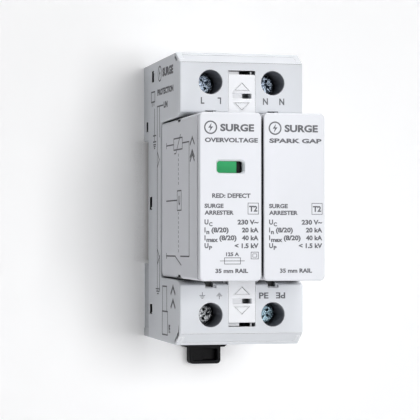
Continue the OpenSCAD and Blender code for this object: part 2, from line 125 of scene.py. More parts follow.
def plastic(name, color, rough=0.42, grain=0.018, grain_mm=0.28, mottle=0.03, sss=0.0, spec=0.45, dark_dust=0.0, coat=0.0, edge=None, cavity_shade=0.0, rear=0.0, shaded_pockets=()):
    """Moulded thermoplastic: fine spark-eroded grain, faint flow mottling, slightly varied gloss; optionally a painted
    highlight on convex edges and painted shade in hollows, listed pockets and the covers' rear strip.
    """
    m, nt, b = _mat(name)
    fine = _n(nt, "ShaderNodeTexNoise", Scale=1.0 / grain_mm, Detail=3.0, Roughness=0.55)
    nt.links.new(_coords(nt), fine.inputs["Vector"])
    big = _n(nt, "ShaderNodeTexNoise", Scale=0.055, Detail=4.0, Roughness=0.5)
    nt.links.new(_coords(nt, stretch=(1, 1, 0.45)), big.inputs["Vector"])
    c = tuple(color)
    lo = tuple(x * (1 - mottle) for x in c)
    hi = tuple(min(1, x * (1 + mottle * 0.6)) for x in c)
    col = _ramp(nt, big.outputs[0], [(0.3, lo), (0.7, hi)])
    if dark_dust:
        speck = _n(nt, "ShaderNodeTexNoise", Scale=2.3, Detail=6.0, Roughness=0.7)
        nt.links.new(_coords(nt), speck.inputs["Vector"])
        sf = _ramp(nt, speck.outputs[0], [(0.60, (0, 0, 0)), (0.72, (1, 1, 1))])
        fac = nt.nodes.new("ShaderNodeMath")
        fac.operation = "MULTIPLY"
        fac.inputs[1].default_value = dark_dust
        nt.links.new(sf, fac.inputs[0])
        col = _mix(nt, fac.outputs[0], col, tuple(min(1, x * 1.6 + 0.03) for x in c))
    # painted highlight: convex edges are lightened toward near-white, where rounded edges catch the light
    if edge:
        painted_edge_highlight = _ramp(nt, _edge_wear_and_highlight(nt), [(0.72, (edge,) * 3), (0.985, (0, 0, 0))])
        col = _mix(nt, painted_edge_highlight, col, (0.93, 0.935, 0.95))
    if cavity_shade or rear or shaded_pockets:
        sep = nt.nodes.new("ShaderNodeSeparateXYZ")
        nt.links.new(_coords(nt), sep.inputs[0])

        def beyond(axis, v0, v1, top=1.0):
            far = nt.nodes.new("ShaderNodeMapRange")
            far.inputs["From Min"].default_value, far.inputs["From Max"].default_value, far.inputs["To Max"].default_value = v0, v1, top
            nt.links.new(sep.outputs[axis], far.inputs["Value"])
            return far.outputs[0]

        def times(a, b):
            m = _n(nt, "ShaderNodeMath", operation="MULTIPLY")
            nt.links.new(a, m.inputs[0])
            nt.links.new(b, m.inputs[1])
            return m.outputs[0]
    if cavity_shade:
        # painted shade: seams, slots and the hollows behind them are darkened toward near-black by ambient occlusion,
        # except on the back that lies against the wall
        ao = _n(nt, "ShaderNodeAmbientOcclusion", samples=8, Distance=cavity_shade * MM)
        ao_unshaded = _n(nt, "ShaderNodeMath", operation="MAXIMUM")
        nt.links.new(_ramp(nt, ao.outputs["AO"], [(0.13, (0, 0, 0)), (0.42, (1, 1, 1))]), ao_unshaded.inputs[0])
        nt.links.new(beyond("Y", 0.4, 1.0), ao_unshaded.inputs[1])
        col = _mix(nt, ao_unshaded.outputs[0], tuple(x * 0.05 for x in c), col)
    for lo, hi in shaded_pockets:
        # painted shade: each listed box is darkened to near-black, standing in for the shade of the dark inside that
        # the real pocket opens into
        within = None
        for axis, a, e in zip("XYZ", lo, hi):
            span = times(beyond(axis, a, a + 0.05), beyond(axis, e, e - 0.05))
            within = times(within, span) if within else span
        col = _mix(nt, within, col, tuple(x * 0.05 for x in c))
    if rear:
        # painted shade: the covers' rear strip beside the rail, below the rail's upper edge, is darkened to a deeper
        # grey
        strip = times(times(beyond("Y", -1.0, -0.8, rear), beyond("Z", 18.0, 17.8)), beyond("X", -17.3, -17.4))
        col = _mix(nt, strip, col, tuple(x * 0.5 for x in c))
    nt.links.new(col, b.inputs["Base Color"])
    r = nt.nodes.new("ShaderNodeMapRange")
    r.inputs["To Min"].default_value = rough - 0.05
    r.inputs["To Max"].default_value = rough + 0.07
    nt.links.new(fine.outputs[0], r.inputs["Value"])
    nt.links.new(r.outputs[0], b.inputs["Roughness"])
    bump = nt.nodes.new("ShaderNodeBump")
    bump.inputs["Strength"].default_value = 1.0
    bump.inputs["Distance"].default_value = grain * MM
    nt.links.new(fine.outputs[0], bump.inputs["Height"])
    nt.links.new(bump.outputs[0], b.inputs["Normal"])
    b.inputs["Specular IOR Level"].default_value = spec
    if sss:
        b.inputs["Subsurface Weight"].default_value = sss
        b.inputs["Subsurface Radius"].default_value = (0.9 * MM, 0.95 * MM, 1.0 * MM)
        b.inputs["Subsurface Scale"].default_value = 1.0
    if coat:
        b.inputs["Coat Weight"].default_value = coat
        b.inputs["Coat Roughness"].default_value = 0.15
    return m


def metal(name, color, rough=0.28, brush=(1, 1, 1), brush_mm=0.15, brush_depth=0.006, tint=None, tint_scale=0.35, tint_amount=0.5, dull=0.0):
    """Plated or rolled metal: directional brush marks, cloudy tint and gloss changes."""
    m, nt, b = _mat(name)
    b.inputs["Metallic"].default_value = 1.0
    grain = _n(nt, "ShaderNodeTexNoise", Scale=1.0 / brush_mm, Detail=4.0, Roughness=0.6)
    nt.links.new(_coords(nt, stretch=brush), grain.inputs["Vector"])
    cloud = _n(nt, "ShaderNodeTexNoise", Scale=tint_scale, Detail=5.0, Roughness=0.6)
    nt.links.new(_coords(nt), cloud.inputs["Vector"])
    f = _ramp(nt, cloud.outputs[0], [(0.38, (0, 0, 0)), (0.66, (tint_amount,) * 3)])
    t = tint or tuple(x * 0.7 for x in color)
    col = _mix(nt, f, tuple(color), tuple(t))
    wear = _ramp(nt, _edge_wear_and_highlight(nt), [(0.80, (1, 1, 1)), (0.97, (0, 0, 0))])
    col = _mix(nt, wear, col, tuple(min(1, x * 1.25 + 0.05) for x in color))
    nt.links.new(col, b.inputs["Base Color"])
    r = nt.nodes.new("ShaderNodeMapRange")
    r.inputs["To Min"].default_value = max(0.05, rough - 0.08)
    r.inputs["To Max"].default_value = rough + 0.12 + dull
    nt.links.new(grain.outputs[0], r.inputs["Value"])
    nt.links.new(r.outputs[0], b.inputs["Roughness"])
    bump = nt.nodes.new("ShaderNodeBump")
    bump.inputs["Distance"].default_value = brush_depth * MM
    nt.links.new(grain.outputs[0], bump.inputs["Height"])
    nt.links.new(bump.outputs[0], b.inputs["Normal"])
    return m


def ink(name, color, rough=0.5, wear=0.25):
    """Pad-printed ink: slightly patchy cover with soft gloss."""
    m, nt, b = _mat(name)
    n = _n(nt, "ShaderNodeTexNoise", Scale=3.2, Detail=6.0, Roughness=0.65)
    nt.links.new(_coords(nt), n.inputs["Vector"])
    hi = tuple(min(1, x * (1 + wear) + 0.02) for x in color)
    nt.links.new(_ramp(nt, n.outputs[0], [(0.40, color), (0.68, hi)]), b.inputs["Base Color"])
    r = nt.nodes.new("ShaderNodeMapRange")
    r.inputs["To Min"].default_value = rough - 0.1
    r.inputs["To Max"].default_value = rough + 0.15
    nt.links.new(n.outputs[0], r.inputs["Value"])
    nt.links.new(r.outputs[0], b.inputs["Roughness"])
    return m


M = {
    "housing": plastic("housing_grey", (0.61, 0.628, 0.66), rough=0.44, grain=0.020, sss=0.05, spec=0.22, edge=0.75, cavity_shade=4.0, rear=0.42,
                       # painted shade: near-black boxes over the finger notches and the cover windows
                       shaded_pockets=[((x - 1.56, -38.95, z0), (x + 0.91, -36.2, z1)) for x in (-8.95, 8.95) for z0, z1 in ((21.9, 24.15), (-24.4, -21.9))]
                       + [((x, y - 0.08, z0 - 0.8), (x + 2.0, y + 0.8, z1 + 0.8)) for x in (-17.62, 15.62)
                          for y, z0, z1 in ((-4.9, 34.5, 37.8), (2.2, 20.4, 23.4), (-2.1, -2.6, 1.2), (-2.1, -33.0, -30.1))]),
    "module": plastic("module_grey", (0.66, 0.672, 0.71), rough=0.44, grain=0.016, sss=0.05, spec=0.22, edge=0.5, cavity_shade=4.0),
    "clip": plastic("clip_white", (0.74, 0.75, 0.775), rough=0.42, grain=0.012, sss=0.08, spec=0.22, edge=0.3, cavity_shade=0.7),
    "carrier": plastic("carrier_slate", (0.29, 0.30, 0.33), rough=0.50, grain=0.02, dark_dust=0.2, spec=0.3),
    "black": plastic("clip_black", (0.004, 0.004, 0.005), rough=0.5, grain=0.03, grain_mm=0.35, dark_dust=0.15, spec=0.13),
    "red": plastic("flag_red", (0.55, 0.03, 0.025), rough=0.42, grain=0.01),
    "green": plastic("flag_green", (0.028, 0.36, 0.125), rough=0.5, grain=0.012, mottle=0.05, spec=0.15),
    "wire": plastic("wire_red", (0.42, 0.03, 0.025), rough=0.38, grain=0.012),
    "zinc": metal("zinc_plate", (0.27, 0.32, 0.385), rough=0.26, brush_mm=0.42, brush_depth=0.14, tint=(0.035, 0.05, 0.08), tint_scale=1.6, tint_amount=1.0),
    "zinc_blue": metal("zinc_plate_blue", (0.30, 0.42, 0.48), rough=0.26, brush_mm=0.42, brush_depth=0.14, tint=(0.05, 0.09, 0.12), tint_scale=1.6, tint_amount=1.0),
    "zinc_plain": metal("zinc_plate_plain", (0.28, 0.29, 0.30), rough=0.26, brush_mm=0.42, brush_depth=0.14, tint=(0.03, 0.033, 0.04), tint_scale=1.6, tint_amount=1.0),
    "cage": metal("cage_steel", (0.55, 0.57, 0.60), rough=0.36, brush=(0.15, 1, 1)),
    "steel": metal("spring_wire", (0.46, 0.47, 0.49), rough=0.30),
    "solder": metal("solder_tin", (0.56, 0.56, 0.57), rough=0.42, dull=0.1),
    "copper": metal("copper_sheet", (0.72, 0.34, 0.20), rough=0.30, brush=(1, 1, 0.12), tint=(0.46, 0.20, 0.12)),
    "brass": metal("brass_sheet", (0.74, 0.56, 0.26), rough=0.28, brush=(1, 1, 0.12), tint=(0.52, 0.38, 0.18)),
    "epoxy": plastic("varistor_epoxy", (0.02, 0.09, 0.32), rough=0.30, grain=0.05, grain_mm=0.9, mottle=0.12, coat=0.5),
    "ceramic": plastic("fired_ceramic", (0.70, 0.64, 0.60), rough=0.34, grain=0.006, mottle=0.05, sss=0.15, coat=0.3),
    "ink": ink("print_grey", (0.072, 0.074, 0.086)),
    "ink_side": ink("print_grey_side", (0.045, 0.045, 0.055)),
}

# ---------------------------------------------------------------- mesh tools (all in millimetres until a piece is made)

AX = {"X": 0, "Y": 1, "Z": 2}


def bm_new():
    return bmesh.new()


def prism(pts, axis, a, b):
    """A closed solid: the outline drawn from a to b along axis. Outline pairs are (Y,Z) for X, (X,Z) for Y and (X,Y) for Z."""
    bm = bmesh.new()

    def at(p, h):
        if axis == "X":
            return (h, p[0], p[1])
        if axis == "Y":
            return (p[0], h, p[1])
        return (p[0], p[1], h)

    lo = [bm.verts.new(at(p, a)) for p in pts]
    hi = [bm.verts.new(at(p, b)) for p in pts]
    n = len(pts)
    bm.faces.new(lo)
    bm.faces.new(hi[::-1])
    for i in range(n):
        j = (i + 1) % n
        bm.faces.new((lo[i], hi[i], hi[j], lo[j]))
    bmesh.ops.recalc_face_normals(bm, faces=bm.faces)
    return bm


def loft(rings, closed_ends=True, loop=False):
    """A skin over rings of equal point counts."""
    bm = bmesh.new()
    vs = [[bm.verts.new(p) for p in r] for r in rings]
    n = len(rings[0])
    pairs = list(zip(vs, vs[1:])) + ([(vs[-1], vs[0])] if loop else [])
    for r0, r1 in pairs:
        for i in range(n):
            j = (i + 1) % n
            bm.faces.new((r0[i], r0[j], r1[j], r1[i]))
    if closed_ends and not loop:
        bm.faces.new(vs[0][::-1])
        bm.faces.new(vs[-1])
    bmesh.ops.recalc_face_normals(bm, faces=bm.faces)
    return bm


def box(a, b):
    return prism([(a[0], a[1]), (b[0], a[1]), (b[0], b[1]), (a[0], b[1])], "Z", a[2], b[2])


def circ(cx, cy, r, n=48, a0=0.0, a1=360.0):
    full = abs(a1 - a0) >= 359.9
    return [(cx + r * math.cos(math.radians(a0 + (a1 - a0) * i / (n if full else n - 1))),
             cy + r * math.sin(math.radians(a0 + (a1 - a0) * i / (n if full else n - 1)))) for i in range(n)]


def cyl(axis, u, v, r, a, b, n=48, r2=None):
    """A cylinder (or cone) along axis, centred on (u, v) in that axis's plane."""
    r2 = r if r2 is None else r2
    rings = []
    for h, rr in ((a, r), (b, r2)):
        ring = []
        for p in circ(u, v, rr, n):
            ring.append({"X": (h, p[0], p[1]), "Y": (p[0], h, p[1]), "Z": (p[0], p[1], h)}[axis])
        rings.append(ring)
    return loft(rings)


def lathe(axis, u, v, profile, n=64):
    """A turned solid: profile is (height along axis, radius) pairs; ends close on the axis."""
    rings = []
    for h, r in profile:
        ring = []
        for p in circ(u, v, max(r, 1e-4), n):
            ring.append({"X": (h, p[0], p[1]), "Y": (p[0], h, p[1]), "Z": (p[0], p[1], h)}[axis])
        rings.append(ring)
    return loft(rings)


def rrect(x0, x1, y0, y1, r, n=8):
    pts = []
    for cx, cy, a in ((x1 - r, y1 - r, 0), (x0 + r, y1 - r, 90), (x0 + r, y0 + r, 180), (x1 - r, y0 + r, 270)):
        for i in range(n + 1):
            t = math.radians(a + 90 * i / n)
            pts.append((cx + r * math.cos(t), cy + r * math.sin(t)))
    return pts


def round_poly(pts, radii, n=6):
    """An outline with each corner rounded to its radius (0 keeps the corner)."""
    out = []
    m = len(pts)
    if not hasattr(radii, "__len__"):
        radii = [radii] * m
    for i in range(m):
        p0, p, p1 = (Vector(pts[i - 1]), Vector(pts[i]), Vector(pts[(i + 1) % m]))
        r = radii[i]
        a, b = (p0 - p), (p1 - p)
        la, lb = a.length, b.length
        if r <= 0 or la < 1e-9 or lb < 1e-9:
            out.append(tuple(p))
            continue
        a, b = a / la, b / lb
        ang = math.acos(max(-1, min(1, a.dot(b))))
        if ang > math.pi - 0.02:
            out.append(tuple(p))
            continue
        d = min(r / math.tan(ang / 2), la * 0.49, lb * 0.49)
        r = d * math.tan(ang / 2)
        c = p + (a + b).normalized() * (r / math.sin(ang / 2))
        s, e = p + a * d, p + b * d
        v0, v1 = s - c, e - c
        t0 = math.atan2(v0.y, v0.x)
        dt = math.atan2(v0.x * v1.y - v0.y * v1.x, v0.dot(v1))
        for k in range(n + 1):
            t = t0 + dt * k / n
            out.append((c.x + r * math.cos(t), c.y + r * math.sin(t)))
    return out


def tmp_obj(bm, name="tmp"):
    me = bpy.data.meshes.new(name)
    bm.to_mesh(me)
    bm.free()
    o = bpy.data.objects.new(name, me)
    COL.objects.link(o)
    return o


def _evaluated(o):
    dg = bpy.context.evaluated_depsgraph_get()
    dg.update()
    me = bpy.data.meshes.new_from_object(o.evaluated_get(dg), preserve_all_data_layers=True, depsgraph=dg)
    return me


def drop(o):
    me = o.data
    bpy.data.objects.remove(o)
    if me and me.users == 0:
        bpy.data.meshes.remove(me)


def boole(base, tools, op):
    """base (bmesh) joined with or cut by tools (bmeshes), by the exact manifold solver."""
    bo = tmp_obj(base, "base")
    tos = [tmp_obj(t, "tool") for t in tools]
    for t in tos:
        m = bo.modifiers.new("b", "BOOLEAN")
        m.operation = op
        m.object = t
        m.solver = "MANIFOLD"
    me = _evaluated(bo)
    out = bmesh.new()
    out.from_mesh(me)
    bpy.data.meshes.remove(me)
    drop(bo)
    for t in tos:
        drop(t)
    return tidy(out)


def tidy(bm, angle=0.4):
    bmesh.ops.remove_doubles(bm, verts=bm.verts, dist=1e-4)
    bmesh.ops.dissolve_degenerate(bm, dist=1e-4, edges=bm.edges)
    bmesh.ops.dissolve_limit(bm, angle_limit=math.radians(angle), verts=bm.verts, edges=bm.edges, delimit=set())
    return bm


def add(a, *b):
    return boole(a, b, "UNION")


def cut(a, *b):
    return boole(a, b, "DIFFERENCE")


def join(*bms):
    """Separate closed solids in one mesh, not welded together."""
    out = bmesh.new()
    for b in bms:
        me = bpy.data.meshes.new("j")
        b.to_mesh(me)
        b.free()
        out.from_mesh(me)
        bpy.data.meshes.remove(me)
    return out


def moved(bm, mat):
    bmesh.ops.transform(bm, matrix=mat, verts=bm.verts)
    if mat.determinant() < 0:
        bmesh.ops.reverse_faces(bm, faces=bm.faces)
    return bm


def copy_bm(bm):
    return bm.copy()


def mirror_z(bm):
    return moved(bm.copy(), Matrix.Scale(-1, 4, (0, 0, 1)))


def mirror_x(bm):
    return moved(bm.copy(), Matrix.Scale(-1, 4, (1, 0, 0)))


OPEN = []


def check_closed(name, me):
    bm = bmesh.new()
    bm.from_mesh(me)
    bad = sum(1 for e in bm.edges if not e.is_manifold)
    vol = bm.calc_volume(signed=True)
    bm.free()
    if bad or vol <= 0:
        OPEN.append((name, bad, vol))


def piece(name, bm, mat, body, bevel=0.0, seg=3, angle=30, replaces=(), smooth=True, clamp=True, weld=False, apply=True):
    """A finished piece: edges rounded by bevel mm, shading weighted by face size, riding on a body."""
    bmesh.ops.scale(bm, vec=(MM, MM, MM), verts=bm.verts)
    me = bpy.data.meshes.new(name)
    bm.to_mesh(me)
    bm.free()
    o = bpy.data.objects.new(name, me)
    COL.objects.link(o)
    me.materials.append(M[mat] if isinstance(mat, str) else mat)
    if bevel:
        b = o.modifiers.new("round", "BEVEL")
        b.width = bevel * MM
        b.segments = seg
        b.limit_method = "ANGLE"
        b.angle_limit = math.radians(angle)
        b.use_clamp_overlap = clamp
        b.harden_normals = False
    if apply and bevel:
        me2 = _evaluated(o)
        o.modifiers.clear()
        o.data = me2
        bpy.data.meshes.remove(me)
        me = me2
        me.name = name
    if smooth:
        me.polygons.foreach_set("use_smooth", [True] * len(me.polygons))
        me.update()
        if bevel:
            w = o.modifiers.new("normals", "WEIGHTED_NORMAL")
            w.weight = 100
            w.keep_sharp = True
        sharp_by_angle(me, 50 if bevel else 35)
    check_closed(name, me)
    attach(o, body)
    if replaces:
        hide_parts(*([replaces] if isinstance(replaces, str) else replaces))
    return o


def sharp_by_angle(me, deg):
    bm = bmesh.new()
    bm.from_mesh(me)
    lim = math.radians(deg)
    for e in bm.edges:
        e.smooth = not (len(e.link_faces) == 2 and e.calc_face_angle(0) > lim)
    bm.to_mesh(me)
    bm.free()


def tube(points, r, n=10, ends=True):
    """A round wire along a path, parallel-transported."""
    P = [Vector(p) for p in points]
    T = []
    for i in range(len(P)):
        a = P[max(0, i - 1)]
        b = P[min(len(P) - 1, i + 1)]
        T.append((b - a).normalized())
    up = Vector((0, 0, 1)) if abs(T[0].z) < 0.9 else Vector((1, 0, 0))
    nrm = (up - T[0] * up.dot(T[0])).normalized()
    rings = []
    for i, p in enumerate(P):
        if i:
            nrm = (nrm - T[i] * nrm.dot(T[i])).normalized()
        bi = T[i].cross(nrm)
        rr = r[i] if hasattr(r, "__len__") else r
        rings.append([tuple(p + (nrm * math.cos(2 * math.pi * k / n) + bi * math.sin(2 * math.pi * k / n)) * rr) for k in range(n)])
    return loft(rings)


# ---------------------------------------------------------------- carried-over CAD nodes

CAD_MAT = {
    "base_frame": "housing", "left_side_cover": "housing", "right_side_cover": "housing",
    "carrier_line": "carrier", "carrier_neutral": "carrier", "carrier_earth_left": "carrier", "carrier_earth_right": "carrier",
    "screw_line": "zinc", "screw_neutral": "zinc", "screw_earth_left": "zinc", "screw_earth_right": "zinc",
    "cage_line": "cage", "cage_neutral": "cage", "cage_earth_left": "cage", "cage_earth_right": "cage",
    "busbar_line": "copper", "busbar_neutral": "copper", "busbar_earth": "copper",
    "jaw_line": "brass", "jaw_neutral_left": "brass", "jaw_neutral_right": "brass", "jaw_earth": "brass",
    "upper_retention_clip": "clip", "lower_retention_clip": "clip",
    "rail_clip": "black", "rail_clip_spring": "steel", "arm_spring": "steel",
    "signal_switch": "black", "switch_plunger": "red", "signal_wires": "wire", "signal_socket": "black", "signal_pins": "brass",
    "line_module_shell": "module", "line_module_front": "module", "flag_carrier": "black", "flag_green": "green", "flag_red": "red",
    "varistor_block": "epoxy", "electrode_line": "copper", "electrode_neutral": "copper", "solder_joint": "solder",
    "disconnect_arm": "copper", "arm_rivet": "brass", "blade_line": "brass", "blade_neutral": "brass",
    "neutral_module_shell": "module", "neutral_module_front": "module", "gas_tube_ceramic": "ceramic", "gas_tube_caps": "cage",
    "blade_gap_neutral": "brass", "blade_gap_earth": "brass",
}


def dress_cad(name, bevel=0.12, seg=2):
    """A carried-over CAD node: its own mesh kept, edges softened by modifiers, procedural material."""
    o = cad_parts[name]
    o.data.materials.clear()
    o.data.materials.append(M[CAD_MAT[name]])
    w = o.modifiers.new("weld", "WELD")
    w.merge_threshold = 0.000004
    if bevel:
        d = o.modifiers.new("flat", "DECIMATE")
        d.decimate_type = "DISSOLVE"
        d.angle_limit = math.radians(0.6)
        b = o.modifiers.new("round", "BEVEL")
        b.width = bevel * MM
        b.segments = seg
        b.limit_method = "ANGLE"
        b.angle_limit = math.radians(32)
        n = o.modifiers.new("normals", "WEIGHTED_NORMAL")
        n.weight = 100
    return o


# ---------------------------------------------------------------- pieces


def cad(name):
    """A copy of a CAD node's mesh, in millimetres, welded and with its flat faces merged."""
    bm = bmesh.new()
    bm.from_mesh(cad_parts[name].data)
    bmesh.ops.scale(bm, vec=(1000, 1000, 1000), verts=bm.verts)
    bmesh.ops.remove_doubles(bm, verts=bm.verts, dist=2e-3)
    bmesh.ops.dissolve_degenerate(bm, dist=1e-3, edges=bm.edges)
    bmesh.ops.dissolve_limit(bm, angle_limit=math.radians(0.8), verts=bm.verts, edges=bm.edges, delimit=set())
    return bm


# ---- helpers for rounded solids


def at(axis, p, h):
    return (h, p[0], p[1]) if axis == "X" else (p[0], h, p[1]) if axis == "Y" else (p[0], p[1], h)


def slug(axis, u0, u1, v0, v1, r, levels, n=5):
    """A rounded-rectangle plug along axis: levels are (height, growth) pairs."""
    return loft([[at(axis, p, h) for p in rrect(u0 - d, u1 + d, v0 - d, v1 + d, max(0.04, r + d), n)] for h, d in levels])


def _area2(pts):
    return sum(pts[i - 1][0] * pts[i][1] - pts[i][0] * pts[i - 1][1] for i in range(len(pts)))


def inset(pts, d):
    """The outline moved inwards by d at every side."""
    s = 1 if _area2(pts) > 0 else -1
    out = []
    for i in range(len(pts)):
        p0, p, p1 = Vector(pts[i - 1]), Vector(pts[i]), Vector(pts[(i + 1) % len(pts)])
        a, b = (p - p0).normalized(), (p1 - p).normalized()
        na, nb = Vector((-a.y, a.x)) * s, Vector((-b.y, b.x)) * s
        m = na + nb
        out.append(tuple(p + m * (d / max(0.25, 1 + na.dot(nb)))))
    return out


def soft_prism(pts, radii, axis, a, b, fa=0.3, fb=0.3, seg=4, n=5):
    """An outline with rounded corners drawn from a to b, its edges rounded by fa at a and fb at b."""
    if not hasattr(radii, "__len__"):
        radii = [radii] * len(pts)
    s = 1 if _area2(pts) > 0 else -1
    turn = []
    for i in range(len(pts)):
        p0, p, p1 = Vector(pts[i - 1]), Vector(pts[i]), Vector(pts[(i + 1) % len(pts)])
        e, f = p - p0, p1 - p
        turn.append(1 if (e.x * f.y - e.y * f.x) * s > 0 else -1)
    sg = 1 if b > a else -1
    lv = []
    if fa > 0:
        lv += [(a + sg * fa * (1 - math.cos(math.radians(90 * k / seg))), fa * (1 - math.sin(math.radians(90 * k / seg)))) for k in range(seg + 1)]
    else:
        lv.append((a, 0.0))
    if fb > 0:
        lv += [(b - sg * fb * (1 - math.cos(math.radians(90 * k / seg))), fb * (1 - math.sin(math.radians(90 * k / seg)))) for k in range(seg, -1, -1)]
    else:
        lv.append((b, 0.0))
    rings = []
    for h, d in lv:
        q = inset(pts, d) if d > 1e-6 else list(pts)
        rad = [0 if r <= 0 else max(0.03, r - d * t) for r, t in zip(radii, turn)]
        rings.append([at(axis, p, h) for p in round_poly(q, rad, n)])
    return loft(rings)


def soft_box(a, b, f=0.2, axis="Y", r=None):
    """A box with every edge rounded by f."""
    r = f if r is None else r
    i = {"X": (1, 2, 0), "Y": (0, 2, 1), "Z": (0, 1, 2)}[axis]
    return soft_prism([(a[i[0]], a[i[1]]), (b[i[0]], a[i[1]]), (b[i[0]], b[i[1]]), (a[i[0]], b[i[1]])], r, axis, a[i[2]], b[i[2]], f, f, seg=3, n=4)


def hole(axis, u, v, levels, n=64):
    return lathe(axis, u, v, levels, n)


def at_bm(bm, x=0.0, y=0.0, z=0.0, rot=None, flip_z=False):
    m = Matrix.Translation((x, y, z))
    if flip_z:
        m = m @ Matrix.Scale(-1, 4, (0, 0, 1))
    if rot is not None:
        m = m @ rot
    return moved(bm, m)


# ---- plug-in modules

MXL, MXR = -8.925, 8.925
NOSE = 60.4


def rr_ring(x0, x1, z0, z1, r, y, n=8):
    return [(p[0], y, p[1]) for p in rrect(x0, x1, z0, z1, r, n)]


def soft_slab(x0, x1, z0, z1, r, y_front, y_back, fil, back_ch=0.12, n=8, seg=6):
    """A plate in X-Z with rounded corners, a quarter-round front edge and a small chamfer behind."""
    rings = [rr_ring(x0 + back_ch, x1 - back_ch, z0 + back_ch, z1 - back_ch, max(0.05, r - back_ch), y_back, n),
             rr_ring(x0, x1, z0, z1, r, y_back - back_ch, n)]
    for i in range(seg + 1):
        t = math.radians(90 * i / seg)
        ins = fil * (1 - math.cos(t))
        y = y_front + fil - fil * math.sin(t)
        rings.append(rr_ring(x0 + ins, x1 - ins, z0 + ins, z1 - ins, max(0.08, r - ins * 0.85), y, n))
    return loft(rings)


def window_tool():
    """The indicator opening: straight through with a sloped lead-in at the front."""
    a = [rr_ring(-12.5, -5.4, 6.3, 9.5, 0.75, -58.0), rr_ring(-12.5, -5.4, 6.3, 9.5, 0.75, -59.7),
         rr_ring(-12.95, -4.85, 5.8, 9.95, 0.95, -60.42), rr_ring(-13.05, -4.75, 5.7, 10.05, 1.0, -61.0)]
    return loft(a)


def module_front(x, window):
    near = 0.05
    bm = soft_slab(x - (8.5 if x < 0 else 8.575 + near), x + (8.5 if x > 0 else 8.575 + near), -22.5, 22.5, 1.35, -NOSE, -58.6, 0.42)
    spig = cut(box((x - 7.0, -58.85, -20.6), (x + 7.0, -56.3, 20.6)), box((x - 6.2, -58.6, -19.8), (x + 6.2, -56.0, 19.8)))
    bm = add(bm, spig)
    if window:
        # the opening, and the shallow channel behind it that the two flag faces slide in
        bm = cut(bm, window_tool(), box((-13.25, -58.95, 1.3), (-6.55, -57.0, 14.4)))
    return bm


def module_shell(x):
    def half(y):
        return 21.85 + 0.6 * (-y - 16.2) / 42.9
    rings = []
    # rear end rounded, then straight to the front with draft, then a shadow groove behind the plate
    for ins, xi, y in ((1.2, 0.18, -16.2), (0.75, 0.06, -16.32), (0.3, 0.0, -16.75), (0.1, 0.0, -17.2), (0.0, 0.0, -17.7)):
        h = half(y) - ins
        rings.append(rr_ring(x - 8.43 + xi, x + 8.43 - xi, -h, h, 0.6, y))
    for y in (-25.0, -33.0, -41.0, -50.0, -57.25):
        h = half(y)
        rings.append(rr_ring(x - 8.43, x + 8.43, -h, h, 0.9, y))
    h = half(-57.3)
    rings.append(rr_ring(x - 8.38, x + 8.38, -h + 0.05, h - 0.05, 0.9, -57.32))
    rings.append(rr_ring(x - 7.42, x + 7.42, -h + 1.02, h - 1.02, 0.7, -57.37))
    rings.append(rr_ring(x - 7.42, x + 7.42, -h + 1.02, h - 1.02, 0.7, -58.63))
    bm = loft(rings)
    inner = loft([rr_ring(x - 7.13, x + 7.13, -20.45, 20.45, 0.6, -17.7), rr_ring(x - 7.13, x + 7.13, -20.95, 20.95, 0.6, -56.6), rr_ring(x - 7.03, x + 7.03, -20.65, 20.65, 0.6, -60.0)])
    bm = cut(bm, inner)
    boss = cut(soft_slab(x - 6.6, x + 6.6, -20.3, 20.3, 0.8, -16.6, -13.5, 0.05, back_ch=0.35),
               box((x - 5.2, -14.6, -9.5), (x + 5.2, -13.0, 9.5)))
    # doubled wall behind the latch grooves
    ribs = [box((x - 7.6, -40.2, 19.0), (x + 7.6, -34.1, 21.3)), box((x - 7.6, -40.2, -21.3), (x + 7.6, -34.1, -19.0))]
    # floor webs inside the boss pocket stiffen it and leave the plunger its landing
    webs = [box((x - 5.3, -16.0, z - 0.4), (x + 5.3, -13.6, z + 0.4)) for z in (-5.5, 5.5)] + [box((x - 0.4, -16.0, -9.6), (x + 0.4, -13.6, 9.6)), box((x + 1.4, -16.0, -0.2), (x + 5.3, -13.5, 4.2))]
    bm = add(bm, boss, *ribs, *webs)
    tools = []
    roofs = []
    for s in (-1, 1):
        # the latch groove: open on top between the flanks, a shaped notch in each flank, and a roofed pocket behind the notch
        tools.append(soft_prism([(-38.85, s * 21.1), (-35.75, s * 21.1), (-35.3, s * 24), (-39.2, s * 24)], [0.55, 0.55, 0, 0], "X", x - 10, x + 10, 0, 0, 1, 5))
        for k in (-1, 1):
            lo, hi = sorted((x + k * 8.3, x + k * 7.35))
            tools.append(box((lo, -39.3, min(s * 20.6, s * 22.0)), (hi, -33.2, max(s * 20.6, s * 22.0))))
        tools.append(box((x - 7.0, -39.2, min(s * 20.3, s * 24)), (x + 7.0, -35.1, max(s * 20.3, s * 24))))
        roofs += [box((x + k * 7.55 - 0.3, -39.3, min(s * 21.9, s * 22.08)), (x + k * 7.55 + 0.3, -33.2, max(s * 21.9, s * 22.08))) for k in (-1, 1)]
    for z in (-15, 15):
        tools.append(box((x - 0.66, -18.5, z - 3.06), (x + 0.66, -13.0, z + 3.06)))
    bm = add(cut(bm, *tools), *roofs)
    return bm


for _side, _x in (("line", MXL), ("neutral", MXR)):
    piece(f"{_side}_module_shell_moulding", module_shell(_x), "module", f"{_side}_module", bevel=0.14, seg=2, angle=40, replaces=f"{_side}_module_shell")
    piece(f"{_side}_module_front_plate", module_front(_x, _side == "line"), "module", f"{_side}_module", bevel=0.08, seg=2, angle=40, replaces=f"{_side}_module_front")

# ---- base

REAR, SY, IX, HW = 5.5, 39.5, 16.1, 17.7
TX, TZ, WY = 8.95, 32.2, 15.15
UP = [(REAR, 39.8), (-34.3, 40.7), (-39.5, 37.85), (-39.5, 23.9), (-36.3, 22.62)]
LOW = [(REAR, 39.8), (-34.3, 40.7), (-39.5, 37.4), (-39.5, 23.9), (-36.3, 22.62)]
UP_R = [0.35, 0.30, 0.12, 0.55, 0.35]


def mz(p):
    return [(q[0], -q[1]) for q in p[::-1]]


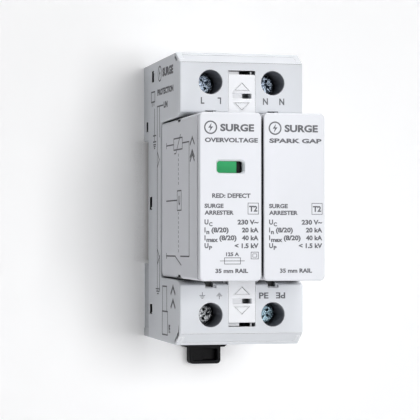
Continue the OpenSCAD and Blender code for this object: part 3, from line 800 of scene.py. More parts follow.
RAIL_OUT = [(REAR, -18.35), (-0.3, -18.35), (-0.3, 17.7), (REAR, 17.7)]
RAIL_R = [0.3, 0.35, 0.35, 0.3]
FRAME_OUT = UP + [(-13.4, 22.15), (-13.4, -22.15)] + mz(LOW) + RAIL_OUT
FRAME_R = UP_R + [0.5, 0.5] + UP_R[::-1] + RAIL_R
CAV = [(3.9, 38.1), (-33.8, 39.0), (-37.9, 36.4), (-37.9, 25.3), (-36.0, 24.4), (-11.8, 23.8), (-11.8, -23.8), (-36.0, -24.4),
       (-37.9, -25.3), (-37.9, -36.4), (-33.8, -39.0), (3.9, -38.1), (3.9, -19.95), (-1.6, -19.95), (-1.6, 19.3), (3.9, 19.3)]


def base_moulding():
    body = soft_prism(FRAME_OUT, FRAME_R, "X", -IX, IX, 0.07, 0.07, seg=1, n=6)
    cav = round_poly(CAV, 0.5, 4)
    body = cut(body, prism(cav, "X", -IX - 1, -0.6), prism(cav, "X", 0.6, IX + 1))
    wraps = []
    for s in (1, -1):
        w = soft_prism((UP if s > 0 else LOW)[1:] + [(-34.3, 22.7)], UP_R[1:] + [0], "X", -HW, HW, 0.5, 0.5, seg=5, n=6)
        w = cut(w, box((-20, -38.1, 15), (20, -30, 45)))
        wraps.append(w if s > 0 else mirror_z(w))
    extra = []
    for s in (1, -1):
        c = box((-4.95, -38.0, 22.9), (4.95, -32.7, 37.4))
        extra.append(c if s > 0 else mirror_z(c))
    for s in (-1, 1):
        def bxs(a, b):
            x0, x1 = sorted((s * a[0], s * b[0]))
            return box((x0, a[1], a[2]), (x1, b[1], b[2]))
        # snap hooks on slim arms, one in each window of the cover
        extra += [bxs((0.3, -7.6, 37.25), (IX + 1.1, -5.1, 37.6)), bxs((0.3, -0.05, 20.6), (IX + 1.1, 2.05, 21.0)),
                  bxs((0.3, -5.0, -2.3), (IX + 1.2, -2.4, -1.8)), bxs((0.3, -5.0, -32.85), (IX + 1.1, -2.4, -32.5))]
    extra.append(box((-9.2, -1.0, -39.2), (9.2, 5.4, -18.4)))
    body = add(body, *wraps, *extra)
    # ways that must stay open
    tools = []
    for s in (1, -1):
        for t in (slug("Y", -3.9, 3.9, 20.0, 35.55, 0.25, [(-SY - 1, 0.3), (-SY - 0.02, 0.04), (-SY + 0.06, 0.0), (-SY + 1.7, 0.0)]),
                  box((-4.3, -SY + 1.6, 20), (4.3, -33.4, 36.8)), box((-0.35, -34.0, 33.2), (4.2, -28.0, 35.9)),
                  # shadow channels along the bay wall beside the covers
                  box((14.6, -35.6, 21.5), (16.3, -16.5, 22.8)), box((-16.3, -35.6, 21.5), (-14.6, -16.5, 22.8)),
                  # the finger notches
                  *[box((x - 1.5, -SY - 1, 21.0), (x + 0.95, -36.35, 24.2 if s > 0 else 24.5)) for x in (-TX, TX)]):
            tools.append(t if s > 0 else mirror_z(t))
        for x in (-TX, TX):
            t = hole("Y", x, s * TZ, [(-SY - 1, 3.6), (-SY - 0.01, 3.47), (-SY + 0.05, 3.43), (-SY + 5, 3.43)])
            tools.append(t)
            tools.append(hole("Z", x, -WY, [(s * 36, 3.5), (s * 39.9, 3.5), (s * 40.12, 3.6), (s * 42, 4.9)] if s > 0 else
                              [(-42, 4.9), (-40.12, 3.6), (-39.9, 3.5), (-36, 3.5)]))
            n = slug("Y", x - 1.5, x + 1.6, 22.0, 24.32 if s > 0 else 24.75, 0.12, [(-SY - 1, 0.6), (-SY + 0.02, 0.1), (-SY + 0.14, 0.0), (-38.75, -0.12)])
            tools.append(n if s > 0 else mirror_z(n))
            tools.append(slug("Y", x - 1.0, x + 1.0, s * 15 - 3.4, s * 15 + 3.4, 0.15, [(-14.2, 1.0), (-13.35, 0.42), (-12.9, 0.0), (-11, 0.0)]))
    tools += [box((-7.35, 1.1, -45), (7.35, 3.15, -18)), box((-4.95, 1.1, -45), (4.95, 7, -18)), box((-7.35, 3.1, -20.2), (7.35, 7, -18)),
              box((-14, -0.4, 17.6), (14, 1.2, 18.2)), hole("Y", -5.0, 2.0, [(-14.2, 2.3), (-13.35, 1.5), (-13.0, 1.1), (-11, 1.1)], 32),
              box((-1, -3.7, 3.7), (1, -1.9, 8.3)), box((-1, -8.4, -26.7), (1, -2.0, -24.4)),
              slug("Z", -6.6, 6.6, -9.7, -2.5, 0.3, [(-42, 1.6), (-40.5, 0.25), (-40.0, 0.0), (-31.2, 0.0)])]
    body = cut(body, *tools)
    # a fine crease under the front edge of each chamfer and another along its crest
    for s, z, h in ((1, 37.62, 0.09), (-1, 37.42, 0.14)):
        for q in (((-39.65, z - h), (-39.3, z), (-39.65, z + h)), ((-36.15, 39.95), (-35.35, 39.62), (-35.6, 40.35))):
            body = cut(body, prism([(y, s * v) for y, v in q][::s], "X", -20, 20))
    more = [soft_box((-15, -0.3, -15.5), (15, 0.0, 15.5), 0.12, "Y", 0.6),
            soft_prism([(1.25, 16.75), (1.7, 16.3), (REAR - 0.4, 16.3), (REAR, 16.7), (REAR, 18.6), (1.25, 18.6)], 0.12, "X", -13, 13, 0.25, 0.25, 3, 3),
            soft_box((-1.6, 0.2, -35.9), (1.6, 4.6, -34.3), 0.15, "Z", 0.3)]
    # key ribs on the bay floor
    for x in (-TX, TX):
        for z in (-20.6, 20.6):
            more.append(soft_box((x - 5.5, -13.95, z - 0.5), (x + 5.5, -13.0, z + 0.5), 0.15, "Z"))
    body = add(body, *more)
    return body


piece("base_frame_moulding", base_moulding(), "housing", "base", replaces="base_frame")

COVER_RAW = UP + [(-15.9, 22.16), (-15.9, -22.16)] + mz(LOW) + RAIL_OUT
COVER_R = UP_R[:4] + [0.5, 1.35, 1.35] + [0.5] + UP_R[3::-1] + RAIL_R


def side_cover():
    """The left cover, outer face towards -X."""
    c = soft_prism(COVER_RAW, COVER_R, "X", -IX - 0.02, -HW, 0.05, 0.28, seg=4, n=6)
    tools = [box((-19, -42, -45), (-14, -38.05, 45))]
    for y0, y1, z0, z1 in ((-7.8, -4.9, 34.5, 37.8), (-0.2, 2.2, 20.4, 23.4), (-5.4, -2.1, -2.6, 1.2), (-5.5, -2.1, -33.0, -30.1)):
        tools.append(slug("X", y0, y1, z0, z1, 0.2, [(-HW - 1, 0.6), (-HW - 0.01, 0.12), (-HW + 0.13, 0.0), (-HW + 0.4, 0.0), (-HW + 0.75, 0.7), (-14, 0.7)], 3))
    tools.append(prism([(-0.95, -37.4), (7, -37.4), (7, -18.2), (-0.95, -18.2)], "X", -HW - 1, -HW + 0.22))
    for s in (1, -1):
        g = prism([(-36.2, 38.6), (-33.4, 40.2), (-33.2, 39.3), (-35.4, 38.0)], "X", -HW - 1, -HW + 0.9)
        tools.append(g if s > 0 else mirror_z(g))
        if s < 0:
            # the open joint at the lower front corner, undercut
            k = [(-38.3, 34.9), (-37.5, 35.1), (-37.15, 36.9), (-36.3, 37.3), (-35.2, 38.6), (-35.9, 39.2), (-38.3, 37.7)]
            tools += [mirror_z(prism(k, "X", -HW - 1, -HW + 0.12)), mirror_z(prism(inset(k, -0.35), "X", -HW + 0.12, -HW + 1.25))]
    return cut(c, *tools)


piece("left_side_cover_moulding", side_cover(), "housing", "base", replaces="left_side_cover")
piece("right_side_cover_moulding", mirror_x(side_cover()), "housing", "base", replaces="right_side_cover")

# ---- terminals

TERMS = (("line", -TX, 1, 20), ("neutral", TX, 1, 65), ("earth_left", -TX, -1, 40), ("earth_right", TX, -1, 10))


def carrier():
    t = lathe("Y", 0, 0, [(-39.36, 3.36), (-39.3, 3.41), (-37.82, 3.41), (-37.72, 3.85), (-37.55, 3.93), (-27.4, 3.93)], 64)
    t = add(t, soft_box((-5.38, -28.4, -4.38), (5.38, -27.42, 4.38), 0.12, "Y", 0.3),
            soft_box((4.77, -28.38, -4.38), (5.38, -10.5, 4.38), 0.12, "Y", 0.25), soft_box((-5.38, -28.38, -4.38), (-4.77, -10.5, 4.38), 0.12, "Y", 0.25),
            box((-5.0, -28.4, -4.2), (5.0, -27.5, 4.2)))
    t = cut(t, lathe("Y", 0, 0, [(-40, 3.36), (-39.37, 3.33), (-38.6, 3.30), (-31.8, 3.36), (-28.4, 3.36)], 64),
            lathe("Y", 0, 0, [(-29, 3.1), (-28.39, 3.0), (-28.1, 2.8), (-27, 2.8)], 48))
    return t


def thread_rod(r, depth, pitch, y0, y1, n=40, per=10, lead=0.5):
    """A threaded rod along Y from y0 (full size, at a head) to y1 (a chamfered end), right-handed."""
    steps = int(round((y1 - y0) / pitch * per))
    rings = []
    for i in range(steps + 1):
        y = y0 + (y1 - y0) * i / steps
        ring = []
        for k in range(n):
            t = 2 * math.pi * k / n
            ph = (y / pitch + t / (2 * math.pi)) % 1.0
            w = abs(ph - 0.5) * 2
            w = min(1.0, max(0.0, (w - 0.14) / 0.72))
            d = depth * w * min(1.0, (y - y0) / 0.35)
            rr = r - d - max(0.0, (y - (y1 - lead))) * 0.9
            ring.append((rr * math.cos(t), y, rr * math.sin(t)))
        rings.append(ring)
    return loft(rings)


def terminal_screw():
    head = lathe("Y", 0, 0, [(-30.99, 0.01), (-30.99, 1.9), (-30.96, 2.3), (-30.88, 2.58), (-30.72, 2.79), (-30.5, 2.88), (-28.78, 2.88), (-28.62, 2.76), (-28.6, 2.4)], 72)
    tools = [prism([(-0.42, -31.4), (-0.4, -31.02), (-0.36, -30.9), (-0.36, -30.02), (0.36, -30.02), (0.36, -30.9), (0.4, -31.02), (0.42, -31.4)][::1], "Z", -3.6, 3.6)]
    tools = [moved(tools[0], Matrix.Rotation(math.radians(90), 4, "Y"))]
    for a in (45, 135):
        w = loft([[(-1.85, -31.3, -0.5), (1.85, -31.3, -0.5), (1.85, -31.3, 0.5), (-1.85, -31.3, 0.5)],
                  [(-1.66, -30.95, -0.4), (1.66, -30.95, -0.4), (1.66, -30.95, 0.4), (-1.66, -30.95, 0.4)],
                  [(-0.95, -29.65, -0.3), (0.95, -29.65, -0.3), (0.95, -29.65, 0.3), (-0.95, -29.65, 0.3)]])
        tools.append(moved(w, Matrix.Rotation(math.radians(a), 4, "Y")))
    tools.append(lathe("Y", 0, 0, [(-31.3, 1.0), (-30.98, 0.85), (-29.5, 0.5)], 24))
    head = cut(head, *tools)
    rod = thread_rod(2.45, 0.42, 0.8, -28.62, -19.6)
    return add(head, rod)


def cage():
    o = soft_prism([(-4.6, -22.0), (4.6, -22.0), (4.6, -10.9), (-4.6, -10.9)], [0.9, 0.9, 0.9, 0.9], "Z", -4.0, 4.0, 0.12, 0.12, 2, 5)
    tools = [slug("Z", -3.4, 3.4, -19.8, -12.4, 0.35, [(-5, 0.3), (-4.02, 0.12), (-3.85, 0.0), (3.85, 0.0), (4.02, 0.12), (5, 0.3)]),
             lathe("Y", 0, 0, [(-23, 3.4), (-22.0, 2.82), (-21.65, 2.52), (-20.2, 2.52), (-19.75, 2.8), (-19, 3.3)], 48)]
    for z in (-2.4, 0, 2.4):
        tools.append(loft([[(-3.38, -12.55, z - 0.5), (-3.38, -12.55, z + 0.5), (-3.38, -11.98, z)], [(3.38, -12.55, z - 0.5), (3.38, -12.55, z + 0.5), (3.38, -11.98, z)]]))
    # the folded sheet's joint on the clamping side
    tools.append(box((-0.06, -11.3, -4.2), (0.06, -10.5, 4.2)))
    return cut(o, *tools)


for _n0, _x, _s, _a in TERMS:
    piece(f"terminal_carrier_{_n0}", at_bm(carrier(), _x, 0, _s * TZ, flip_z=_s < 0), "carrier", "base", replaces=f"carrier_{_n0}")
    piece(f"terminal_screw_{_n0}", at_bm(terminal_screw(), _x, 0, _s * TZ, rot=Matrix.Rotation(math.radians(_a * _s), 4, "Y")), {"earth_left": "zinc_plain", "earth_right": "zinc_blue"}.get(_n0, "zinc"), f"screw_{_n0}",
          replaces=f"screw_{_n0}")
    piece(f"clamp_cage_{_n0}", at_bm(cage(), _x, 0, _s * TZ, flip_z=_s < 0), "cage", f"cage_{_n0}", replaces=f"cage_{_n0}")

# ---- retention clips


def retention_clip():
    front = soft_prism([(-3.87, 22.78), (3.87, 22.78), (3.87, 34.4), (-3.87, 34.4)], [0.25, 0.25, 0.3, 0.3], "Y", -SY, -37.7, 0.1, 0.0, 3, 4)
    b = add(front, soft_box((-4.15, -37.85, 24.2), (4.15, -36.5, 33.8), 0.15, "Y", 0.3), soft_box((-3.8, -37.85, 22.8), (3.8, -36.5, 24.5), 0.12, "Y", 0.15),
            cyl("X", -37.15, 22.95, 0.74, -3.78, 3.78, 32),
            # a tongue and a thin upright rib behind the outer edge
            soft_box((-3.75, -37.8, 33.0), (-0.35, -36.6, 35.42), 0.08, "Y"), soft_box((2.9, -37.8, 33.0), (3.25, -36.6, 35.5), 0.06, "Y"))
    # moulded triangles that point the way each end of the slider moves: a raised rim with a fine groove inside it
    for zb, za in ((29.75, 32.45), (26.85, 24.15)):
        sg = 1 if za > zb else -1
        tri = [(-2.75, zb), (2.75, zb), (0.0, za)][::sg]
        ridge = cut(soft_prism(tri, 0.15, "Y", -SY - 0.09, -SY + 0.3, 0.04, 0.0, 2, 3), prism(inset(tri, 0.2), "Y", -SY - 1, -SY + 1))
        groove = cut(prism(inset(tri, 0.2), "Y", -SY - 1, -SY + 0.2), prism(inset(tri, 0.38), "Y", -SY - 2, -SY + 1))
        b = cut(add(b, ridge), groove)
    b = cut(b, slug("Y", -2.75, 2.75, 27.75, 29.15, 0.12, [(-SY - 1, 0.4), (-SY - 0.01, 0.11), (-SY + 0.1, 0.0), (-38.7, 0.0)], 3),
            box((0.3, -SY - 1, 27.78), (2.6, -35, 29.12)), box((0.3, -38.9, 27.78), (2.6, -35, 31.5)))
    return b


piece("upper_retention_slider", retention_clip(), "clip", "upper_clip", replaces="upper_retention_clip")
piece("lower_retention_slider", mirror_z(retention_clip()), "clip", "lower_clip", replaces="lower_retention_clip")

# ---- rail clip and its spring


def rail_clip():
    plate = soft_box((-7.2, 1.3, -39.0), (7.2, 3.0, -20.3), 0.2, "Y", 0.3)
    spine = soft_prism([(-4.74, -48.15), (4.74, -48.15), (4.74, -18.6), (-4.74, -18.6)], [1.15, 1.15, 0.2, 0.2], "Y", 1.3, 5.38, 0.3, 0.3, 4, 6)
    jaw = soft_prism([(1.35, -19.4), (1.35, -16.7), (2.0, -16.2), (2.8, -16.2), (5.3, -19.4)], [0, 0.1, 0.25, 0.25, 0], "X", -4.7, 4.7, 0.2, 0.2, 3, 4)
    flange = soft_prism([(-7.2, -40.1), (7.2, -40.1), (7.2, -42.2), (6.0, -43.2), (-6.0, -43.2), (-7.2, -42.2)], [0.15, 0.15, 0.3, 0.3, 0.3, 0.3], "Y", 1.4, 5.35, 0.22, 0.22, 3, 4)
    b = add(plate, spine, jaw, flange)
    pocket = slug("Y", -3.75, 3.75, -47.15, -43.6, 0.55, [(0.0, 0.5), (1.28, 0.16), (1.42, 0.0), (4.3, -0.12), (4.4, -0.25)], 5)
    window = slug("Y", -2.2, 2.2, -39.5, -26.0, 0.25, [(0, 0.0), (6.5, 0.0)], 3)
    b = cut(b, pocket, window)
    # the pocket's left half has a raised floor
    tongue = [soft_box((-1.0, 2.1, -26.6), (1.0, 3.8, -25.6), 0.15, "Z"), soft_box((-4.1, 2.6, -47.4), (-0.3, 4.6, -43.4), 0.15, "Y"),
              soft_box((-4.1, 1.62, -47.4), (-3.35, 4.6, -43.4), 0.1, "Y")]
    return add(b, *tongue)


piece("rail_clip_slider", rail_clip(), "black", "rail_clip", replaces="rail_clip")


def coil(r, w, z0, z1, turns, closed=1.0, per=22, n=10):
    """A compression spring: its end turns lie close together."""
    steps = int(turns * per)
    raw = []
    for i in range(steps + 1):
        t = turns * i / steps
        raw.append((t, min(t / closed, 1.0, (turns - t) / closed)))
    zs = [0.0]
    for i in range(steps):
        zs.append(zs[-1] + (0.25 + 0.75 * (raw[i][1] + raw[i + 1][1]) / 2))
    k = (z1 - z0) / zs[-1]
    return tube([(r * math.cos(2 * math.pi * t), r * math.sin(2 * math.pi * t), z0 + z * k) for (t, _), z in zip(raw, zs)], w, n)


_c = coil(1.25, 0.24, -34.0, -26.3, 7)
bmesh.ops.translate(_c, vec=(0, 2.95, 0), verts=_c.verts)
_sp = piece("rail_clip_coil", _c, "steel", "base", replaces="rail_clip_spring")
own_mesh(_sp)

_c = coil(1.15, 0.21, 8.7, 20.0, 11, closed=0.6)
_hooks = [tube([(1.15 * math.cos(t), 0.0, 0.0 + z0 + sg * 1.15 * math.sin(t)) for t in [math.radians(180 * i / 10) for i in range(11)]], 0.2, 8)
          for z0, sg in ((8.9, -0.48), (19.85, 0.42))]
_c = join(_c, *_hooks)
bmesh.ops.translate(_c, vec=(-4.0, -42.5, 0), verts=_c.verts)
_as = piece("disconnect_spring_coil", _c, "steel", "line_module", replaces="arm_spring")
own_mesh(_as)

# ---- remote signalling


def pcb_switch():
    b = soft_box((-8.0, -9.58, -6.4), (-2.0, -3.8, 6.4), 0.2, "Y", 0.25)
    b = cut(b, cyl("X", -4.9, -3.2, 0.8, -9, -1, 32), cyl("X", -4.9, 3.2, 0.8, -9, -1, 32), lathe("Y", -5.0, 2.0, [(-10, 1.35), (-9.58, 1.2), (-9.4, 1.1), (-8.2, 1.1)], 32),
            box((-8.3, -6.95, -7), (-7.9, -6.8, 7)), box((-2.1, -6.95, -7), (-1.7, -6.8, 7)))
    feet = [box((-5.25 + d, -4.0, z - 0.45), (-4.75 + d, -3.8, z + 0.45)) for z in (-5, 0, 5) for d in (0,)]
    return add(b, *feet)


piece("signal_micro_switch", pcb_switch(), "black", "base", replaces="signal_switch")
piece("switch_plunger_pin", lathe("Y", -5.0, 2.0, [(-13.43, 0.35), (-13.38, 0.6), (-13.2, 0.85), (-12.9, 0.97), (-9.2, 0.97), (-9.2, 1.0), (-8.5, 1.0), (-8.41, 0.9)], 40), "red",
      "plunger", replaces="switch_plunger")
_w = []
for _i, _x in enumerate((-5.3, -4.0, -2.7)):
    _pts = [(_x, -8.9, -31.3 + (22.9) * k / 24) for k in range(25)]
    _pts = [(p[0] + 0.10 * math.sin(k / 24 * math.pi * (2 + _i)) * math.sin(k / 24 * math.pi), p[1] + 0.02 * math.sin(k * 0.6 + _i) * math.sin(k / 24 * math.pi), p[2]) for k, p in enumerate(_pts)]
    _w.append(tube(_pts, 0.4, 14))
    _w.append(soft_box((_x - 0.5, -9.38, -8.42), (_x + 0.5, -8.42, -6.42), 0.12, "Z"))
piece("signal_leads", join(*_w), "wire", "base", replaces="signal_wires")


def socket():
    b = soft_box((-6.5, -9.58, -39.9), (6.5, -2.6, -31.37), 0.18, "Z", 0.3)
    b = cut(b, slug("Z", -5.7, 5.7, -8.8, -4.0, 0.3, [(-41, 0.6), (-39.88, 0.22), (-39.5, 0.0), (-33.2, 0.0)], 4))
    ribs = [soft_box((x - 0.25, -4.35, -39.4), (x + 0.25, -3.9, -33.1), 0.06, "Z") for x in (-1.9, 1.9)]
    return add(b, *ribs)


piece("signal_connector", socket(), "black", "base", replaces="signal_socket")
_p = []
for _x in (-3.81, 0, 3.81):
    _p.append(loft([[at("Z", q, h) for q in rrect(_x - 0.5 + d, _x + 0.5 - d, -6.9 + d, -5.9 - d, 0.1, 3)] for h, d in ((-38.9, 0.28), (-38.4, 0.02), (-38.2, 0.0), (-33.2, 0.0))]))
piece("signal_connector_pins", join(*_p), "brass", "base", replaces="signal_pins")

# ---- indicator flag

piece("flag_slider", add(soft_box((-13.0, -58.3, -3.5), (-5.4, -57.5, 10.3), 0.12, "Y", 0.4), soft_box((-6.6, -57.9, 4.2), (-3.2, -55.0, 5.0), 0.1, "Y"),
                         soft_box((-6.6, -57.9, 7.4), (-3.2, -55.0, 8.2), 0.1, "Y")), "black", "flag", replaces="flag_carrier")
piece("flag_good", soft_box((-13.0, -58.8, 5.9), (-6.85, -58.28, 9.9), 0.1, "Y", 0.15), "green", "flag", replaces="flag_green")
piece("flag_defect", soft_box((-13.0, -58.8, 1.6), (-6.85, -58.28, 5.7), 0.1, "Y", 0.15), "red", "flag", replaces="flag_red")

# ---- varistor and disconnector


def varistor():
    """Dipped epoxy block: pillowed faces with soft corners."""
    rings = []
    for d, x in ((2.2, 0.0), (1.2, 0.28), (0.55, 0.7), (0.2, 1.15), (0.0, 1.8)):
        rings.append((x, d))
    full = [(-12.9 + x, d) for x, d in rings] + [(-6.3 - x, d) for x, d in rings[::-1]]
    return loft([[at("X", p, h) for p in rrect(-52.5 + d, -19.5 - d, -16.5 + d, 16.5 - d, 3.2 - d * 0.6, 8)] for h, d in full])


piece("varistor_body", varistor(), "epoxy", "line_module", replaces="varistor_block")


def rivet():
    return lathe("X", -21.6, 14, [(-5.5, 0.01), (-5.5, 1.3), (-5.42, 1.65), (-5.25, 1.86), (-5.06, 1.88), (-5.06, 1.19), (-2.25, 1.19), (-2.12, 1.05), (-2.1, 0.8), (-2.1, 0.01)], 40)


piece("pivot_rivet", rivet(), "brass", "line_module", replaces="arm_rivet")
piece("solder_bead", lathe("X", -40, 5, [(-5.56, 2.38), (-5.45, 2.36), (-5.3, 2.15), (-5.15, 1.75), (-5.06, 1.25)], 40), "solder", "line_module", replaces="solder_joint")

# ---- gas discharge tube


def tube_body():
    o = lathe("Z", MXR, -38, [(-6.5, 5.75), (-6.4, 5.95), (-6.1, 6.0), (-1.6, 6.0), (-1.3, 5.8), (1.3, 5.8), (1.6, 6.0), (6.1, 6.0), (6.4, 5.95), (6.5, 5.75)], 72)
    return cut(o, cyl("Z", MXR, -38, 4.6, -7, 7, 64))


piece("gas_tube_insulator", tube_body(), "ceramic", "neutral_module", replaces="gas_tube_ceramic")


def tube_cap():
    return lathe("Z", MXR, -38, [(1.0, 0.01), (1.0, 2.7), (1.15, 3.05), (1.4, 3.2), (6.0, 3.2), (6.55, 3.6), (6.55, 6.3), (6.65, 6.52), (6.85, 6.6), (7.6, 6.6), (7.85, 6.5), (7.95, 6.2), (7.97, 4.3),
                                   (8.1, 4.02), (8.4, 4.0), (8.85, 4.0), (8.98, 3.85), (9.0, 3.5), (9.0, 0.01)], 72)


_t = tube_cap()
piece("gas_tube_electrodes", join(_t.copy(), mirror_z(_t)), "cage", "neutral_module", replaces="gas_tube_caps")
_t.free()

# ---- printed marks: thin inked solids a few hundredths proud of the surface


class Marks:
    """Flat marks drawn in a plane. plane is 'front' (u = X, v = Z, faces -Y) or 'left' (u = -Y, v = Z, faces -X)."""

    def __init__(self, plane, surf, proud=0.022, sunk=0.03):
        self.plane, self.surf, self.proud, self.sunk, self.parts = plane, surf, proud, sunk, []

    def _map(self):
        s = self.surf
        if self.plane == "front":
            return Matrix(((1, 0, 0, 0), (0, 0, -1, s), (0, 1, 0, 0), (0, 0, 0, 1)))
        return Matrix(((0, 0, -1, s), (-1, 0, 0, 0), (0, 1, 0, 0), (0, 0, 0, 1)))

    def _place(self, bm):
        moved(bm, self._map())
        self.parts.append(bm)

    def shape(self, pts):
        self._place(prism(pts, "Z", -self.sunk, self.proud))
        return self

    def line(self, u0, v0, u1, v1, w=0.16):
        d = Vector((u1 - u0, v1 - v0))
        n = Vector((-d.y, d.x)).normalized() * (w / 2)
        e = d.normalized() * (w / 2)
        p, q = Vector((u0, v0)) - e, Vector((u1, v1)) + e
        return self.shape([tuple(p + n), tuple(p - n), tuple(q - n), tuple(q + n)])

    def poly(self, pts, w=0.16, close=False):
        q = list(pts) + ([pts[0]] if close else [])
        for a, b in zip(q, q[1:]):
            self.line(*a, *b, w=w)
        return self

    def rect(self, u0, u1, v0, v1, w=0.16):
        outer = loft([[(x, y, h) for x, y in ((u0 - w / 2, v0 - w / 2), (u1 + w / 2, v0 - w / 2), (u1 + w / 2, v1 + w / 2), (u0 - w / 2, v1 + w / 2))] for h in (-self.sunk, self.proud)])
        inner = loft([[(x, y, h) for x, y in ((u0 + w / 2, v0 + w / 2), (u1 - w / 2, v0 + w / 2), (u1 - w / 2, v1 - w / 2), (u0 + w / 2, v1 - w / 2))] for h in (-1, 1)])
        self._place(cut(outer, inner))
        return self

    def ring(self, u, v, r, w=0.16, n=36):
        self._place(cut(lathe("Z", u, v, [(-self.sunk, r + w / 2), (self.proud, r + w / 2)], n), lathe("Z", u, v, [(-1, r - w / 2), (1, r - w / 2)], n)))
        return self

    def dot(self, u, v, r, n=20):
        self._place(lathe("Z", u, v, [(-self.sunk, r), (self.proud, r)], n))
        return self

    def text(self, body, u0, u1, v0, v1, turn=False, bold=0.043):
        """Letters fitted to the box: v0 is the baseline and v1 the top of the capitals."""
        c = bpy.data.curves.new("letters", "FONT")
        c.body, c.size, c.resolution_u, c.extrude, c.offset = body, 1.0, 3, 0.5, bold
        o = bpy.data.objects.new("letters", c)
        COL.objects.link(o)
        me = _evaluated(o)
        bpy.data.objects.remove(o)
        bpy.data.curves.remove(c)
        bm = bmesh.new()
        bm.from_mesh(me)
        bpy.data.meshes.remove(me)
        bmesh.ops.remove_doubles(bm, verts=bm.verts, dist=1e-5)
        bmesh.ops.dissolve_degenerate(bm, dist=1e-6, edges=bm.edges)
        x0, x1 = min(v.co.x for v in bm.verts), max(v.co.x for v in bm.verts)
        h = 0.682 + 2 * bold
        for v in bm.verts:
            fx, fy = (v.co.x - x0) / (x1 - x0), (v.co.y + bold) / h
            if turn:
                fx, fy = 1 - fx, 1 - fy
            v.co = (u0 + (u1 - u0) * fx, v0 + (v1 - v0) * fy, -self.sunk + (self.sunk + self.proud) * (v.co.z + 0.5))
        self._place(bm)
        return self

    def mesh(self):
        return join(*self.parts)


def earth(m, u, v, s=1.0, up=False, w=0.17):
    """The earth symbol: a stem over three shortening bars, v is the stem's foot."""
    k = -1 if up else 1
    m.line(u, v, u, v + k * 0.85 * s, w)
    for i, h in enumerate((0.72, 0.46, 0.2)):
        m.line(u - h * s, v - k * i * 0.36 * s, u + h * s, v - k * i * 0.36 * s, w)
    return m


def bolt(m, u, v, s):
    """A small lightning stroke inside a ring: the common sign for surge protection."""
    m.ring(u, v, 1.5 * s, 0.34 * s)
    m.shape([(u + 0.25 * s, v + 1.1 * s), (u - 0.62 * s, v - 0.12 * s), (u - 0.06 * s, v - 0.12 * s), (u - 0.3 * s, v - 1.1 * s), (u + 0.62 * s, v + 0.2 * s), (u + 0.04 * s, v + 0.2 * s)])
    return m


def front_print(x, second, indicator, rows):
    m = Marks("front", -NOSE)
    o = x - MXL
    bolt(m, -14.4 + o, 18.4, 1.08)
    m.text("SURGE", -11.75 + o, -2.4 + o, 17.4, 19.35, bold=0.042)
    m.text(second, -16.0 + o, -1.35 + o, 14.45, 15.65)
    if indicator:
        m.text("RED: DEFECT", -14.0 + o, -3.4 + o, -0.35, 0.85, bold=0.04)
    m.text("SURGE", -16.1 + o, -10.85 + o, -3.05, -1.9)
    m.text("ARRESTER", -16.1 + o, -8.05 + o, -4.85, -3.7)
    m.rect(-4.1 + o, -1.2 + o, -4.65, -1.7, 0.15)
    m.text("T2", -3.82 + o, -1.5 + o, -4.0, -2.42)
    for (lab, sub, mid, val, w), z in zip(rows, (-7.45, -9.55, -11.65, -13.75)):
        m.text(lab, -16.1 + o, -15.0 + o if lab == "U" else -15.82 + o, z, z + 1.35)
        su = -14.85 + o if lab == "U" else -15.58 + o
        sw = {"C": 0.95, "P": 0.85, "n": 0.82}.get(sub, 3.2)
        m.text(sub, su, su + sw, z - 0.45, z + 0.62 if lab == "U" else z + 0.78)
        if mid:
            mu = su + sw + (0.55 if sw < 1 else 0.35)
            m.text(mid, mu, mu + 4.75, z, z + 1.32)
        m.text(val, -1.2 - w + o, -1.2 + o, z, z + 1.3)
    if indicator:
        m.text("125 A", -10.2 + o, -6.6 + o, -15.85, -14.85)
        m.rect(-10.6 + o, -6.2 + o, -17.95, -16.3, 0.16)
        m.line(-11.8 + o, -17.12, -5.1 + o, -17.12, 0.15)
        m.rect(-3.25 + o, -1.25 + o, -16.6, -14.8, 0.15)
        m.rect(-2.8 + o, -1.7 + o, -16.15, -15.25, 0.13)
    m.text("35 mm RAIL", -13.1 + o, -4.1 + o, -20.35, -19.2)
    return m.mesh()


piece("line_module_print", front_print(MXL, "OVERVOLTAGE", True, (("U", "C", "", "230 V~", 5.8), ("I", "n", "(8/20)", "20 kA", 4.6), ("I", "max", "(8/20)", "40 kA", 4.6), ("U", "P", "", "< 1.5 kV", 6.6))),
      "ink", "line_module", smooth=False)
piece("neutral_module_print", front_print(MXR, "SPARK GAP", False, (("U", "C", "", "230 V~", 5.8), ("I", "n", "(8/20)", "20 kA", 4.6), ("I", "max", "(8/20)", "40 kA", 4.6), ("U", "P", "", "< 1.5 kV", 6.6))),
      "ink", "neutral_module", smooth=False)


def shoulder_print():
    m = Marks("front", -SY)
    m.text("L", -11.75, -10.75, 26.1, 27.96, bold=0.03)
    m.text("L", -6.95, -5.95, 26.1, 27.96, turn=True, bold=0.03)
    m.text("N", 6.1, 7.55, 26.1, 27.96, bold=0.03)
    m.text("N", 10.85, 12.3, 26.1, 27.96, turn=True, bold=0.03)
    earth(m, -11.35, -26.85, 1.0)
    earth(m, -6.5, -26.95, 1.0, up=True)
    m.text("PE", 4.9, 7.65, -27.8, -26.1, bold=0.03)
    m.text("PE", 9.8, 12.5, -27.8, -26.1, turn=True, bold=0.03)
    return m.mesh()


piece("terminal_marks_print", shoulder_print(), "ink", "base", smooth=False)


